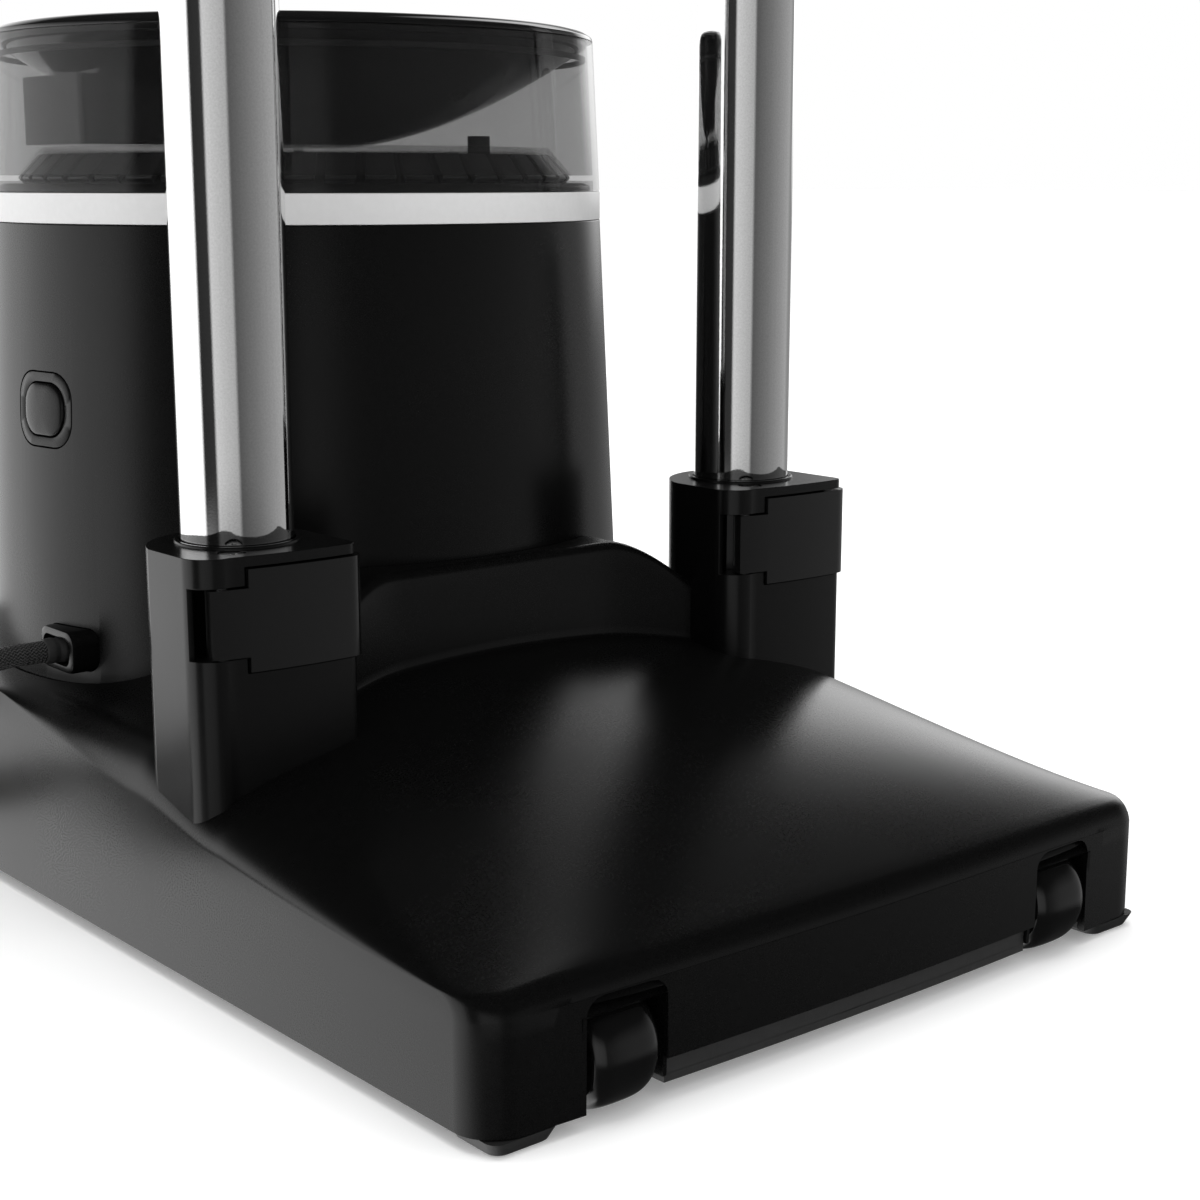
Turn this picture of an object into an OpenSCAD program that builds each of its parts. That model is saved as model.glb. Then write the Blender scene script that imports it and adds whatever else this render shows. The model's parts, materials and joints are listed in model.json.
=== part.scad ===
// Upright garment steamer on a wheeled base, with two telescopic poles.
// Origin: floor level, middle of the base. X runs pole to pole, +Y is the boiler end.

/* [Base] */
// Width across the base
base_w = 292; // [286:1:360]
// Length over the front wheels and the rear edge
base_l = 460; // [440:1:560]
// Radius of the base corners in plan
base_corner_r = 13; // [10:1:20]
// How far the middle of each end bows out
end_bow = 5; // [3:1:12]
// Wall of the moulded base shell
shell_t = 3; // [2:0.5:4]
// Height of the deck at the wheel end
toe_h = 44; // [42:1:48]
// Height of the side walls beside the poles
side_h = 52; // [48:1:60]
// Height of the deck at its crown, in front of the step
deck_h = 90; // [84:1:96]
// Height of the plinth in front of the boiler housing
plinth_h = 124; // [112:1:136]
// Height of the plinth beside the boiler housing
plinth_side_h = 77; // [72:1:84]

/* [Feet and wheels] */
// Height of the rubber feet, which is the shell's floor clearance
foot_h = 5; // [4:0.5:8]
// Wheel diameter
wheel_d = 36; // [32:1:37]
// Wheel width
wheel_w = 24; // [16:1:28]
// Distance of each wheel from the middle
wheel_x = 97; // [80:1:108]
// Wheel axle diameter
axle_d = 6; // [4:1:8]

/* [Poles] */
// Distance from the front edge to the pole line
pole_setback = 179; // [165:1:200]
// Distance of each pole axis from the middle
pole_x = 113.6; // [105:0.2:130]
// Outer pole diameter
pole_d = 37; // [30:0.5:40]
// Outer pole wall
pole_t = 1.2; // [0.8:0.1:2]
// Height of the outer poles' upper ends
pole_top = 690; // [480:5:760]
// Inner pole diameter
inner_d = 32; // [26:0.5:33]
// Travel of the inner poles
pole_travel = 480; // [250:10:520]
// Height of the sockets
socket_h = 144; // [136:1:170]
// Gap between a pole and what holds it
pole_gap = 0.3; // [0.2:0.05:0.6]

/* [Boiler housing] */
// Distance from the pole line back to the housing axis
drum_setback = 137.6; // [134:0.2:160]
// Radius at the white band
drum_r = 120; // [110:1:122]
// Height of the housing's upper edge
drum_top = 243.5; // [215:0.5:260]
// Outward slope of the wall, in millimetres a millimetre
drum_slope = 0.0436; // [0.02:0.001:0.05]
// Wall of the housing
drum_t = 3; // [2:0.5:4]
// Height of the white band
band_h = 10.9; // [8:0.1:16]

/* [Tank] */
// Height of the clear wall above the band
tank_h = 57.3; // [50:0.1:70]
// Wall of the clear tank
tank_t = 2.4; // [1.8:0.1:3.5]
// Radius of the tank's upper edge
tank_top_r = 117.2; // [105:0.2:119]
// Depth of the dished lid
dish_h = 40.2; // [30:0.1:44]
// Thickness of the lid
lid_t = 2.2; // [1.6:0.1:3]
// Height the tank lifts
tank_lift = 120; // [80:5:200]

/* [Levers] */
// Height of the pole clamp levers
lever_h = 33; // [26:1:36]
// Thickness of the lever plates
lever_t = 6; // [5:0.5:8]
// Lever pin diameter
lever_pin_d = 4; // [3:0.5:4]

/* [Button] */
// Width of the power button
button_w = 24; // [18:1:27]
// Height of the power button
button_h = 19; // [14:1:22]
// Height of the button's centre
button_z = 177; // [150:1:200]
// Press travel
button_travel = 2.5; // [1.5:0.1:3]

/* [Hose port] */
// Outside diameter of the hose spigot
port_d = 16; // [12:1:20]
// Length of the spigot beyond its flange
port_l = 15; // [10:1:15]

/* [Cord] */
// Cord diameter
cord_d = 8; // [6:0.5:9]
// Mean radius of the storage coil
coil_r = 46; // [44:1:60]

/* [Hidden] */
$fn = 96;

e = 0.01;
big = 400;
front_y = -base_l / 2;
rear_y = base_l / 2;
wheel_proud = 1;                       // the wheels stand this far in front of the end
end_y = front_y + wheel_proud;
pole_y = front_y + pole_setback;
drum_y = pole_y + drum_setback;
step_y = pole_y + 5;
cove_x = 45;                           // the step curves forward from here to the sockets
cove_y = 15;
cove_run = pole_x - 31 - cove_x;
cove_r = (pow(cove_run, 2) + pow(cove_y, 2)) / (2 * cove_y);
half_w = base_w / 2;
bow_r = (pow(half_w, 2) + pow(end_bow, 2)) / (2 * end_bow);
pan_t = 3;
fit = 0.3;                             // clearance between moulded pieces
slide_fit = 0.05;                      // radial clearance of a running fit

// housing radii follow the wall's slope
function drum_radius(z) = drum_r + (drum_top - z) * drum_slope;
ledge_z = foot_h + 65;
well_r = drum_radius(ledge_z) + fit;
band_top = drum_top + band_h;
rim_z = band_top + tank_h;

function mix(a, b, t) = a + (b - a) * t;
function clamp01(t) = min(1, max(0, t));
function ease(t) = 0.5 - 0.5 * cos(180 * clamp01(t));

// ---------- shared helpers ----------

// Box from one corner to the opposite one.
module block(a, b) translate(a) cube([b.x - a.x, b.y - a.y, b.z - a.z]);

// Rectangle with round corners, built from plain circles and squares.
module round_rect(x0, y0, x1, y1, r) {
    translate([x0 + r, y0]) square([x1 - x0 - 2 * r, y1 - y0]);
    translate([x0, y0 + r]) square([x1 - x0, y1 - y0 - 2 * r]);
    for (x = [x0 + r, x1 - r], y = [y0 + r, y1 - r]) translate([x, y]) circle(r = r);
}

// Round tube standing on z0.
module pipe(r, wall, z0, z1) difference() {
    translate([0, 0, z0]) cylinder(r = r, h = z1 - z0);
    translate([0, 0, z0 - 1]) cylinder(r = r - wall, h = z1 - z0 + 2);
}

// Rod along X, centred on the origin.
module rod_x(r, l) rotate([0, 90, 0]) cylinder(r = r, h = l, center = true);

// Frames carried along a path without twist.
function unit(v) = v / norm(v);
function tangent(p, i) = unit(p[min(i + 1, len(p) - 1)] - p[max(i - 1, 0)]);
function carried(p, i, n) = let (t = tangent(p, i)) unit(n - (n * t) * t);
function normals(p, i, n) = i >= len(p) ? [] :
    let (m = carried(p, i, n)) concat([m], normals(p, i + 1, m));

// Round tube swept along a list of points.
module sweep(p, r, sides = 8, start = [0, 0, 1]) {
    n = normals(p, 0, start);
    rings = [for (i = [0 : len(p) - 1]) let (t = tangent(p, i), b = cross(t, n[i]))
        for (k = [0 : sides - 1]) p[i] + r * (cos(360 * k / sides) * n[i] + sin(360 * k / sides) * b)];
    last = (len(p) - 1) * sides;
    skin = [for (i = [0 : len(p) - 2], k = [0 : sides - 1])
        let (a = i * sides + k, b = i * sides + (k + 1) % sides)
        each [[a, a + sides, b + sides], [a, b + sides, b]]];
    ends = [[for (k = [0 : sides - 1]) k], [for (k = [sides - 1 : -1 : 0]) last + k]];
    polyhedron(rings, concat(skin, ends), convexity = 6);
}

// A piece and its mirror-placed twin share one module: side is -1 or 1.
module at_pole(side) translate([side * pole_x, pole_y, 0]) children();
module at_drum(az = 0) translate([0, drum_y, 0]) rotate([0, 0, az]) children();

// ---------- base ----------

module base_plan(inset) intersection() {
    round_rect(inset - half_w, end_y + inset, half_w - inset, rear_y - inset, base_corner_r - inset);
    translate([0, end_y + bow_r]) circle(r = bow_r - inset, $fn = 360);
    translate([0, rear_y - bow_r]) circle(r = bow_r - inset, $fn = 360);
}

// Deck height along Y, rising from the wheel end to the step.
function deck_at(y) = mix(toe_h, deck_h, 1 - pow(1 - clamp01((y - end_y) / (step_y - end_y)), 1.5));
// Height across X: a crowned deck in front, a saddle behind the step.
function crown_at(x) = side_h + (deck_h - side_h) * sqrt(max(0, 1 - pow(x / half_w, 2)));
function saddle_at(x) = mix(plinth_h, plinth_side_h, ease((abs(x) - 50) / 80));
// Plinth height along Y: full height at the step, low behind the housing.
function plinth_at(y) = mix(plinth_h, plinth_side_h, ease((y - step_y - 40) / 90));
edge_r = 9;
function edge_drop(d) = d >= edge_r ? 0 : edge_r - sqrt(max(0, edge_r * edge_r - pow(edge_r - d, 2)));

// Solid under a height curve: points [s, z] along X or along Y.
module under_x(pts) translate([0, -big, 0]) rotate([90, 0, 0]) mirror([0, 0, 1])
    linear_extrude(2 * big) polygon(concat([[-half_w - 1, -1]], pts, [[half_w + 1, -1]]));
module under_y(pts) translate([-big, 0, 0]) rotate([90, 0, 90])
    linear_extrude(2 * big) polygon(concat([[pts[0].x, -1]], pts, [[pts[len(pts) - 1].x, -1]]));

module base_solid(inset) {
    steps = 24;
    reach = half_w - inset;
    deck_len = step_y + inset - end_y;
    deck_y = concat([for (k = [0 : 4]) let (d = edge_r * (1 - cos(90 * k / 4)))
            [end_y + inset + d, deck_at(end_y + d) - edge_drop(d) - inset]],
        [for (k = [1 : steps]) let (y = end_y + edge_r + (deck_len - edge_r) * k / steps)
            [y, deck_at(y) - inset]]);
    deck_x = [for (k = [-steps : steps]) let (x = reach * sin(90 * k / steps)) [x, crown_at(x) - inset]];
    plinth_x = [for (k = [-steps : steps]) let (x = reach * sin(90 * k / steps))
        [x, saddle_at(x) - edge_drop(half_w - abs(x)) - inset]];
    plinth_y = concat(
        [for (k = [0 : steps]) let (y = mix(step_y - cove_y - inset, rear_y - edge_r, k / steps))
            [y, plinth_at(y) - inset]],
        [for (k = [1 : 5]) let (d = edge_r * (1 - sin(90 * k / 5)))
            [rear_y - inset - d, plinth_side_h - edge_drop(d) - inset]]);
    intersection() {
        linear_extrude(plinth_h) base_plan(inset);
        under_x(deck_x);
        under_y(deck_y);
    }
    intersection() {
        linear_extrude(plinth_h) intersection() {
            base_plan(inset);
            plinth_plan(inset);
        }
        under_x(plinth_x);
        under_y(plinth_y);
    }
}

// Everything behind the step, with a cove that leads to each socket.
module plinth_plan(inset) {
    translate([-half_w, step_y + inset]) square([base_w, base_l]);
    for (side = [-1, 1]) difference() {
        translate([side * (cove_x + half_w) / 2, step_y - cove_y + inset])
            translate([(cove_x - half_w) / 2, 0]) square([half_w - cove_x, cove_y + 1]);
        translate([side * cove_x, step_y - cove_r]) circle(r = cove_r + inset, $fn = 180);
    }
}

wheel_r = wheel_d / 2;
wheel_y = front_y + wheel_r;
axle_z = wheel_r + 0.2;
pocket_w = wheel_w + 5;
pocket_r = wheel_r + 2;
notch_h = 14;                          // the shell's lower edge between the wheels

module wheel_pockets(grow) for (side = [-1, 1]) translate([side * wheel_x, wheel_y, axle_z]) {
    rod_x(pocket_r + grow, pocket_w + 2 * grow);
    block([-pocket_w / 2 - grow, -2 * pocket_r, -axle_z - 1], [pocket_w / 2 + grow, 0, pocket_r + grow]);
    block([-pocket_w / 2 - grow, -1, -axle_z - 1], [pocket_w / 2 + grow, pocket_r + grow, 0]);
}

module base_shell() color("#151515") difference() {
    union() {
        difference() {
            base_solid(0);
            base_solid(shell_t);
        }
        intersection() {
            base_solid(0);
            union() {
                translate([0, drum_y, ledge_z - shell_t]) cylinder(r = well_r + shell_t, h = plinth_h);
                wheel_pockets(2);
            }
        }
    }
    translate([0, 0, -1]) linear_extrude(foot_h + 1) square(4 * base_l, center = true);
    translate([0, drum_y, ledge_z]) cylinder(r = well_r, h = plinth_h);
    translate([0, drum_y, 0]) cylinder(r = well_r - 16, h = plinth_h);
    for (side = [-1, 1]) at_pole(side) translate([0, 0, -1]) linear_extrude(socket_h) socket_plan(fit);
    wheel_pockets(0);
    for (side = [-1, 1]) translate([side * wheel_x, wheel_y, axle_z]) rod_x(axle_d / 2 + fit, pocket_w + 20);
    block([-wheel_x, front_y - 1, 0], [wheel_x, end_y + 14, notch_h]);
}

module bottom_pan() color("#2c2c2c") difference() {
    union() {
        difference() {
            translate([0, 0, foot_h]) linear_extrude(pan_t) base_plan(shell_t + fit);
            block([-upstand_x, front_y - 1, 0], [upstand_x, end_y + step_back, notch_h]);
        }
        // between the wheels the pan steps up and closes the shell's lower edge
        intersection() {
            translate([0, 0, notch_h - 4]) linear_extrude(8) base_plan(shell_t + fit);
            union() {
                block([-upstand_x, front_y, 0], [upstand_x, end_y + step_back + pan_t, notch_h - 4 + pan_t]);
                block([-upstand_x, front_y, 0], [upstand_x, end_y + 3 * shell_t, notch_h + 4]);
            }
        }
        block([-upstand_x, end_y + step_back, foot_h], [upstand_x, end_y + step_back + pan_t, notch_h - 3]);
        for (s = [-1, 1], w = [-1, 1]) wheel_ear(s * wheel_x + w * (pocket_w / 2 + 2 + fit + ear_t / 2));
        for (p = screw_spots) translate([p.x, p.y, foot_h]) cylinder(r = 6, h = 10);
    }
    wheel_pockets(2 + fit);
    for (p = screw_spots) translate([p.x, p.y, 0]) {
        cylinder(r = screw_r + 0.2, h = 30);
        cylinder(r = screw_head_r + 0.4, h = foot_h + 2);
    }
    for (p = foot_spots) translate([p.x, p.y, 0]) cylinder(r = foot_peg_r, h = 30);
    for (side = [-1, 1], p = socket_screw_spots) at_pole(side) translate([p.x, p.y, 0]) {
        cylinder(r = 1.7, h = 30);
        cylinder(r = screw_head_r + 0.4, h = foot_h + 1.8);
    }
    for (s = [-1, 1]) translate([s * wheel_x, wheel_y, axle_z]) rod_x(axle_d / 2 + slide_fit, pocket_w + 60);
}

step_back = 15;
ear_t = 4;
upstand_x = wheel_x - pocket_w / 2 - 2 * shell_t - ear_t;
module wheel_ear(x) translate([x - ear_t / 2, 0, 0]) difference() {
    union() {
        block([0, wheel_y - 7, foot_h + e], [ear_t, wheel_y + 9, axle_z]);
        translate([ear_t / 2, wheel_y, axle_z]) rod_x(7, ear_t);
    }
}

screw_r = 2;
screw_head_r = 3.8;
screw_spots = [for (x = [-1, 1], y = [-0.5, 0.35, 0.86]) [x * (half_w - 22), y * rear_y]];
foot_spots = [for (x = [-1, 1], y = [end_y + 16, rear_y - 18]) [x * (half_w - 16), y]];
foot_peg_r = 3;

module rubber_feet() color("#101010") for (p = foot_spots) translate([p.x, p.y, 0]) {
    cylinder(r = 11, h = foot_h - slide_fit);
    cylinder(r = foot_peg_r - slide_fit, h = foot_h + pan_t + 2);
}

module pan_screws() color("silver") for (p = screw_spots) translate([p.x, p.y, foot_h - 0.6]) {
    cylinder(r = screw_head_r, h = 2.4);
    cylinder(r = screw_r, h = 12);
}

// Solid moulded wheel: a crowned tread and dished sides.
module wheel(side) {
    w = wheel_w / 2;
    tread = [for (k = [-6 : 6]) let (s = k / 6) [wheel_r - 2.5 * pow(s, 4) - 0.6 * s * s, w * s]];
    color("#0e0e0e") translate([side * wheel_x, wheel_y, axle_z]) rotate([0, 90, 0]) difference() {
        rotate_extrude() polygon(concat([[axle_d / 2 + slide_fit, -w]], tread, [[axle_d / 2 + slide_fit, w]]));
        for (s = [-1, 1]) translate([0, 0, s * w]) rotate_extrude()
            translate([wheel_r * 0.55, 0]) circle(r = 2.2);
    }
}

module axle(side) color("silver") translate([side * wheel_x, wheel_y, axle_z])
    rod_x(axle_d / 2, pocket_w + 4 + 2 * (fit + ear_t) + 2);

// ---------- pole sockets ----------

socket_l = -31;                        // socket outline round each pole axis
socket_r = 27;
socket_front = -30.5;
socket_back_r = 30;
front_arc_r = 200;

module socket_plan(g) intersection() {
    union() {
        round_rect(socket_l - g, socket_front - 4 - g, socket_r + g, 0, 4);
        intersection() {
            translate([-2, -5]) circle(r = socket_back_r + g);
            translate([socket_l - g, -12]) square([socket_r - socket_l + 2 * g, 60]);
        }
    }
    translate([12, socket_front + front_arc_r]) circle(r = front_arc_r + g, $fn = 360);
    union() {
        translate([socket_l - g, socket_front + 12]) square([90, 80]);
        translate([socket_l + 10, socket_front - 10]) square([90, 80]);
        translate([socket_l + 10, socket_front + 12 + g]) circle(r = 10 + g);
    }
}

stem_z = foot_h + pan_t + 0.2;
lever_z0 = socket_h - 37;
lever_z1 = lever_z0 + lever_h;
pin_p = [-20, -23.5];                  // lever pin beside the pole
plate_x = -14;                         // the lever has its full height right of this line
knuckle_r = 3.7;
cavity_g = 0.5;

tongue_l = 6;                          // the lever's tail, left of its pin
tongue_z0 = lever_z0 + 5;
tongue_z1 = lever_z1 - 6;
lever_inner = socket_front + lever_t;
grip_x = socket_r - 3.5;
grip_y = -9.5;

// Plan of a lever: a plate that follows the socket's front and wraps its right side.
module lever_plan() intersection() {
    union() {
        translate([pin_p.x - tongue_l, socket_front - 6]) square([socket_r + 2.5 - pin_p.x + tongue_l, lever_t + 6]);
        translate([grip_x, socket_front - 6]) square([6, grip_y - socket_front + 6]);
    }
    translate([12, socket_front + front_arc_r - 1.2]) circle(r = front_arc_r, $fn = 360);
}

// Room that the lever's tail needs as it swings in, with a window round the corner.
module tail_room() {
    intersection() {
        translate(pin_p) circle(r = tongue_l + 2.8);
        polygon([pin_p, pin_p + 30 * [cos(100), sin(100)], [-60, 10], [-60, -60], [pin_p.x, -60]]);
    }
    translate([-60, -60]) square([60 + pin_p.x - tongue_l, 60 + pin_p.y + 2.5]);
    translate([pin_p.x - tongue_l - cavity_g, socket_front - 10]) square([20, lever_t + 10 + cavity_g]);
}

module socket_body() difference() {
    translate([0, 0, stem_z]) linear_extrude(socket_h - stem_z) socket_plan(0);
    // bore for the pole, closed at its lower end
    translate([0, 0, stem_z + 50]) cylinder(r = pole_d / 2 + pole_gap, h = socket_h);
    translate([0, 0, stem_z - 1]) cylinder(r = pole_d / 2 - 4, h = 48);
    // recess for the lever on the front and its grip on the side
    translate([0, 0, lever_z0 - cavity_g]) linear_extrude(lever_h + 2 * cavity_g) {
        translate([plate_x - 2 * cavity_g, socket_front - 10]) square([80, lever_t + 10 + cavity_g]);
        translate([grip_x - cavity_g, socket_front - 10]) square([40, grip_y - socket_front + 10 + cavity_g]);
    }
    translate([0, 0, tongue_z0 - cavity_g]) linear_extrude(tongue_z1 - tongue_z0 + 2 * cavity_g) {
        tail_room();
        translate(pin_p) circle(r = knuckle_r + cavity_g);
    }
    pad_pocket();
    translate([pin_p.x, pin_p.y, 0]) cylinder(r = lever_pin_d / 2 + slide_fit, h = pin_top + 0.5);
    translate([cap_p.x, cap_p.y, socket_h - 2.5]) cylinder(r = 4.6, h = 10);
    translate([cap_p.x, cap_p.y, pin_top - 3]) cylinder(r = 1.5, h = 10);
    for (p = socket_screw_spots) translate([p.x, p.y, 0]) cylinder(r = 1.5, h = stem_z + 12);
}

socket_screw_spots = [[-22, 0], [18, -22]];
cap_p = [-14, -20];                    // small screw in the top face
pin_top = socket_h - 6;
pad_az = atan2(pin_p.y, pin_p.x);
heel_r = norm(pin_p) - knuckle_r - 0.45;
pad_r = pole_d / 2 + 0.3;
pad_t = 1.2;
pad_slide = 0.4;
module pad_pocket() rotate([0, 0, pad_az]) {
    intersection() {
        translate([0, 0, lever_z0 + 3 - cavity_g])
            cylinder(r = pad_r + pad_t + pad_slide + 0.3, h = lever_h - 6 + 2 * cavity_g);
        block([0, -9.5, 0], [40, 9.5, socket_h]);
    }
    block([pad_r, -4 - cavity_g, tongue_z0 + 1 - cavity_g], [heel_r + 1, 4 + cavity_g, tongue_z1 - 1 + cavity_g]);
}

// Curved pad on the pole, with a heel that the lever's knuckle presses.
module clamp_pad(side) color("#3a3a3a") at_pole(side) rotate([0, 0, pad_az]) {
    intersection() {
        pipe(pad_r + pad_t, pad_t, lever_z0 + 3, lever_z1 - 3);
        block([0, -9, 0], [40, 9, socket_h]);
    }
    block([pad_r + pad_t - 0.4, -4, tongue_z0 + 1], [heel_r, 4, tongue_z1 - 1]);
}

module pole_socket(side) color("#181818") at_pole(side) socket_body();

module lever_body() difference() {
    union() {
        intersection() {
            translate([0, 0, lever_z0]) linear_extrude(lever_h) lever_plan();
            union() {
                block([plate_x, -60, 0], [60, 30, socket_h]);
                block([-60, -60, tongue_z0], [plate_x + e, 30, tongue_z1]);
            }
        }
        translate([pin_p.x, pin_p.y, tongue_z0]) cylinder(r = knuckle_r, h = tongue_z1 - tongue_z0);
        block([pin_p.x - knuckle_r, lever_inner - 2, tongue_z0], [pin_p.x + knuckle_r, pin_p.y, tongue_z1]);
    }
    translate([pin_p.x, pin_p.y, 0]) cylinder(r = lever_pin_d / 2 + slide_fit, h = 2 * socket_h);
    // thin lips above and below the tongue, which clear the socket as the lever swings
    for (z = [[0, tongue_z0], [tongue_z1, socket_h]])
        block([plate_x - 1, lever_inner - lever_t + 3, z[0]], [plate_x + 5, 0, z[1]]);
}
module lever(side) color("#121212") at_pole(side) lever_body();

module lever_pin(side) color("silver") at_pole(side)
    translate([pin_p.x, pin_p.y, stem_z]) cylinder(r = lever_pin_d / 2, h = pin_top - stem_z);

module socket_screws() color("silver") for (side = [-1, 1]) at_pole(side) {
    for (p = socket_screw_spots) translate([p.x, p.y, foot_h - 0.6]) {
        cylinder(r = screw_head_r, h = 2.2);
        cylinder(r = 1.5 - slide_fit, h = stem_z + 8 - foot_h);
    }
    translate([cap_p.x, cap_p.y, 0]) {
        translate([0, 0, pin_top - 2]) cylinder(r = 1.5 - slide_fit, h = 5);
        difference() {
            translate([0, 0, socket_h - 2.4]) cylinder(r = 4.2, h = 1.8);
            for (a = [0, 90]) rotate([0, 0, a + 20]) block([-2.4, -0.5, socket_h - 1.6], [2.4, 0.5, socket_h + 1]);
        }
    }
}

// ---------- boiler housing ----------

port_z = 150;
button_az = 187.5;
button_r = drum_radius(button_z);
gland_dy = 31.6;
gland_z = 91;
gland_x = sqrt(pow(drum_radius(gland_z), 2) - pow(gland_dy, 2));

module boiler_housing() color("#1c1c1c") at_drum() difference() {
    rotate_extrude() polygon([
        [drum_radius(ledge_z + fit), ledge_z + fit], [drum_radius(drum_top), drum_top],
        [drum_radius(drum_top) - 2 * drum_t, drum_top], [drum_radius(drum_top) - 2 * drum_t, drum_top - 4],
        [drum_radius(drum_top - 8) - drum_t, drum_top - 8],
        [drum_radius(ledge_z + 6) - drum_t, ledge_z + 6], [well_r - 15, ledge_z + 6], [well_r - 15, ledge_z + fit]]);
    rotate([0, 0, button_az]) translate([0, 0, button_z]) rotate([90, 0, 90]) linear_extrude(200)
        round_rect(-bezel_w / 2 - fit, -bezel_h / 2 - fit, bezel_w / 2 + fit, bezel_h / 2 + fit, 10);
    translate([0, -gland_dy, gland_z]) block([-gland_x - 20, -gland_w / 2 - fit, -gland_hh - fit],
        [-100, gland_w / 2 + fit, gland_hh + fit]);
    rotate([0, 0, 90]) translate([100, 0, port_z]) rotate([0, 90, 0]) cylinder(r = port_d / 2 + 2 + fit, h = 60);
}

module light_band() color("#f2f2f2") at_drum() rotate_extrude() polygon([
    [drum_r, drum_top + slide_fit], [drum_r, band_top],
    [drum_r - 2 * drum_t, band_top], [drum_r - 2 * drum_t, drum_top + slide_fit]]);

// Ribbed cone that the tank sits over.
seat_top = band_top + 14.2;
valve_az = -53;
valve_r = 74.7;
module at_valve() at_drum(valve_az) translate([valve_r, 0, 0]) children();

module tank_seat() color("#141414") difference() {
    at_drum() rotate_extrude() polygon([
        [drum_r - 4, band_top + slide_fit], [drum_r - 4, band_top + 2.4], [drum_r - 6, band_top + 3.6],
        [drum_r - 13, band_top + 3.6], [drum_r - 21.7, seat_top],
        [0, seat_top], [0, seat_top - 2.5], [drum_r - 24.5, seat_top - 2.5],
        [drum_r - 15.5, band_top + slide_fit]]);
    at_valve() translate([0, 0, seat_top - 10]) cylinder(r = receiver_r, h = 30);
}

receiver_r = 9;
module valve_receiver() color("#555555") at_valve() difference() {
    union() {
        translate([0, 0, seat_top - 20]) cylinder(r = receiver_r - slide_fit, h = 19.5);
    }
    translate([0, 0, seat_top - 16]) cylinder(r = 5.2, h = 30);
    translate([0, 0, seat_top - 30]) cylinder(r = tube_r, h = 30);
    translate([0, 0, seat_top - 30]) cylinder(r = tube_r, h = 14.5);
}

bezel_w = 33;
bezel_h = 27.4;
module face_plate(w, h, r, depth0, depth1) at_drum(button_az) translate([0, 0, button_z])
    rotate([90, 0, 90]) translate([0, 0, depth0]) linear_extrude(depth1 - depth0)
    round_rect(-w / 2, -h / 2, w / 2, h / 2, r);

module button_bezel() color("#1f1f1f") difference() {
    intersection() {
        face_plate(bezel_w, bezel_h, 10, button_r - 8, button_r + 5);
        at_drum() translate([0, 0, button_z - 40]) cylinder(r1 = drum_radius(button_z - 40), r2 = drum_radius(button_z + 40), h = 80);
    }
    face_plate(button_w + 2 * slide_fit, button_h + 2 * slide_fit, 8, button_r - 20, button_r + 10);
}

module power_button() color("#161616") {
    intersection() {
        face_plate(button_w, button_h, 8, button_r - 11, button_r + 5);
        at_drum() translate([0, 0, button_z - 40])
            cylinder(r1 = drum_radius(button_z - 40) + 1.6, r2 = drum_radius(button_z + 40) + 1.6, h = 80);
    }
}

module power_switch() color("#333333") at_drum(button_az)
    block([button_r - 24, -8, button_z - 7], [button_r - 11 - button_travel - 0.3, 8, button_z + 7]);

module control_board() color("#1d5c34") at_drum(button_az)
    block([button_r - 26.2, -28, button_z - 40], [button_r - 24.2, 28, button_z + 32]);

// ---------- boiler, pump and tubes ----------

boiler_r = 52;
boiler_z = 100;
boiler_h = 66;
module boiler() color("#b8b8b8") at_drum() difference() {
    union() {
        translate([0, 0, boiler_z]) cylinder(r = boiler_r, h = boiler_h);
        translate([0, 0, boiler_z + boiler_h / 2 - 3]) cylinder(r = boiler_r + 8, h = 6);
        translate([0, 0, boiler_z + boiler_h]) cylinder(r = 9, h = 10);
        translate([-30, 0, boiler_z + boiler_h]) cylinder(r = 7, h = 10);
    }
    translate([0, 0, boiler_z + 5]) cylinder(r = boiler_r - 6, h = boiler_h - 10);
    translate([0, 0, boiler_z + 30]) cylinder(r = tube_r, h = boiler_h);
    translate([-30, 0, boiler_z + 30]) cylinder(r = tube_r, h = boiler_h);
}

module boiler_stand() color("#8a8a8a") at_drum() difference() {
    union() {
        pipe(boiler_r + 6, 4, foot_h + pan_t, boiler_z - slide_fit);
        translate([0, 0, boiler_z - 6]) cylinder(r = boiler_r + 3, h = 6 - slide_fit);
    }
    translate([0, 0, foot_h]) cylinder(r = boiler_r - 12, h = boiler_z);
    for (a = [0 : 45 : 135]) rotate([0, 0, a]) block([-100, -14, foot_h + pan_t + 12], [100, 14, boiler_z - 18]);
}

module thermostat() color("#c9c9c9") at_drum() translate([24, 24, boiler_z + boiler_h + slide_fit]) {
    cylinder(r = 9, h = 5);
    translate([0, 0, 5]) cylinder(r = 6, h = 6);
}

pump_p = [78, 30];
pump_port = 6;
module water_pump() color("#4a4a4a") at_drum() translate([pump_p.x, pump_p.y, 0]) difference() {
    union() {
        block([-17, -20, foot_h + pan_t + slide_fit], [17, 20, foot_h + pan_t + 6]);
        translate([0, 0, foot_h + pan_t + 5]) cylinder(r = 13, h = 60);
    }
    for (s = [-1, 1]) translate([s * pump_port, 0, pump_in]) cylinder(r = tube_r, h = 60);
}

tube_r = 3.5;
valve_p = [valve_r * cos(valve_az), valve_r * sin(valve_az)];
module drum_tube(pts, r) color("#dcdcdc") at_drum() sweep(pts, r - slide_fit, 10, [0, 1, 0]);

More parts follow.
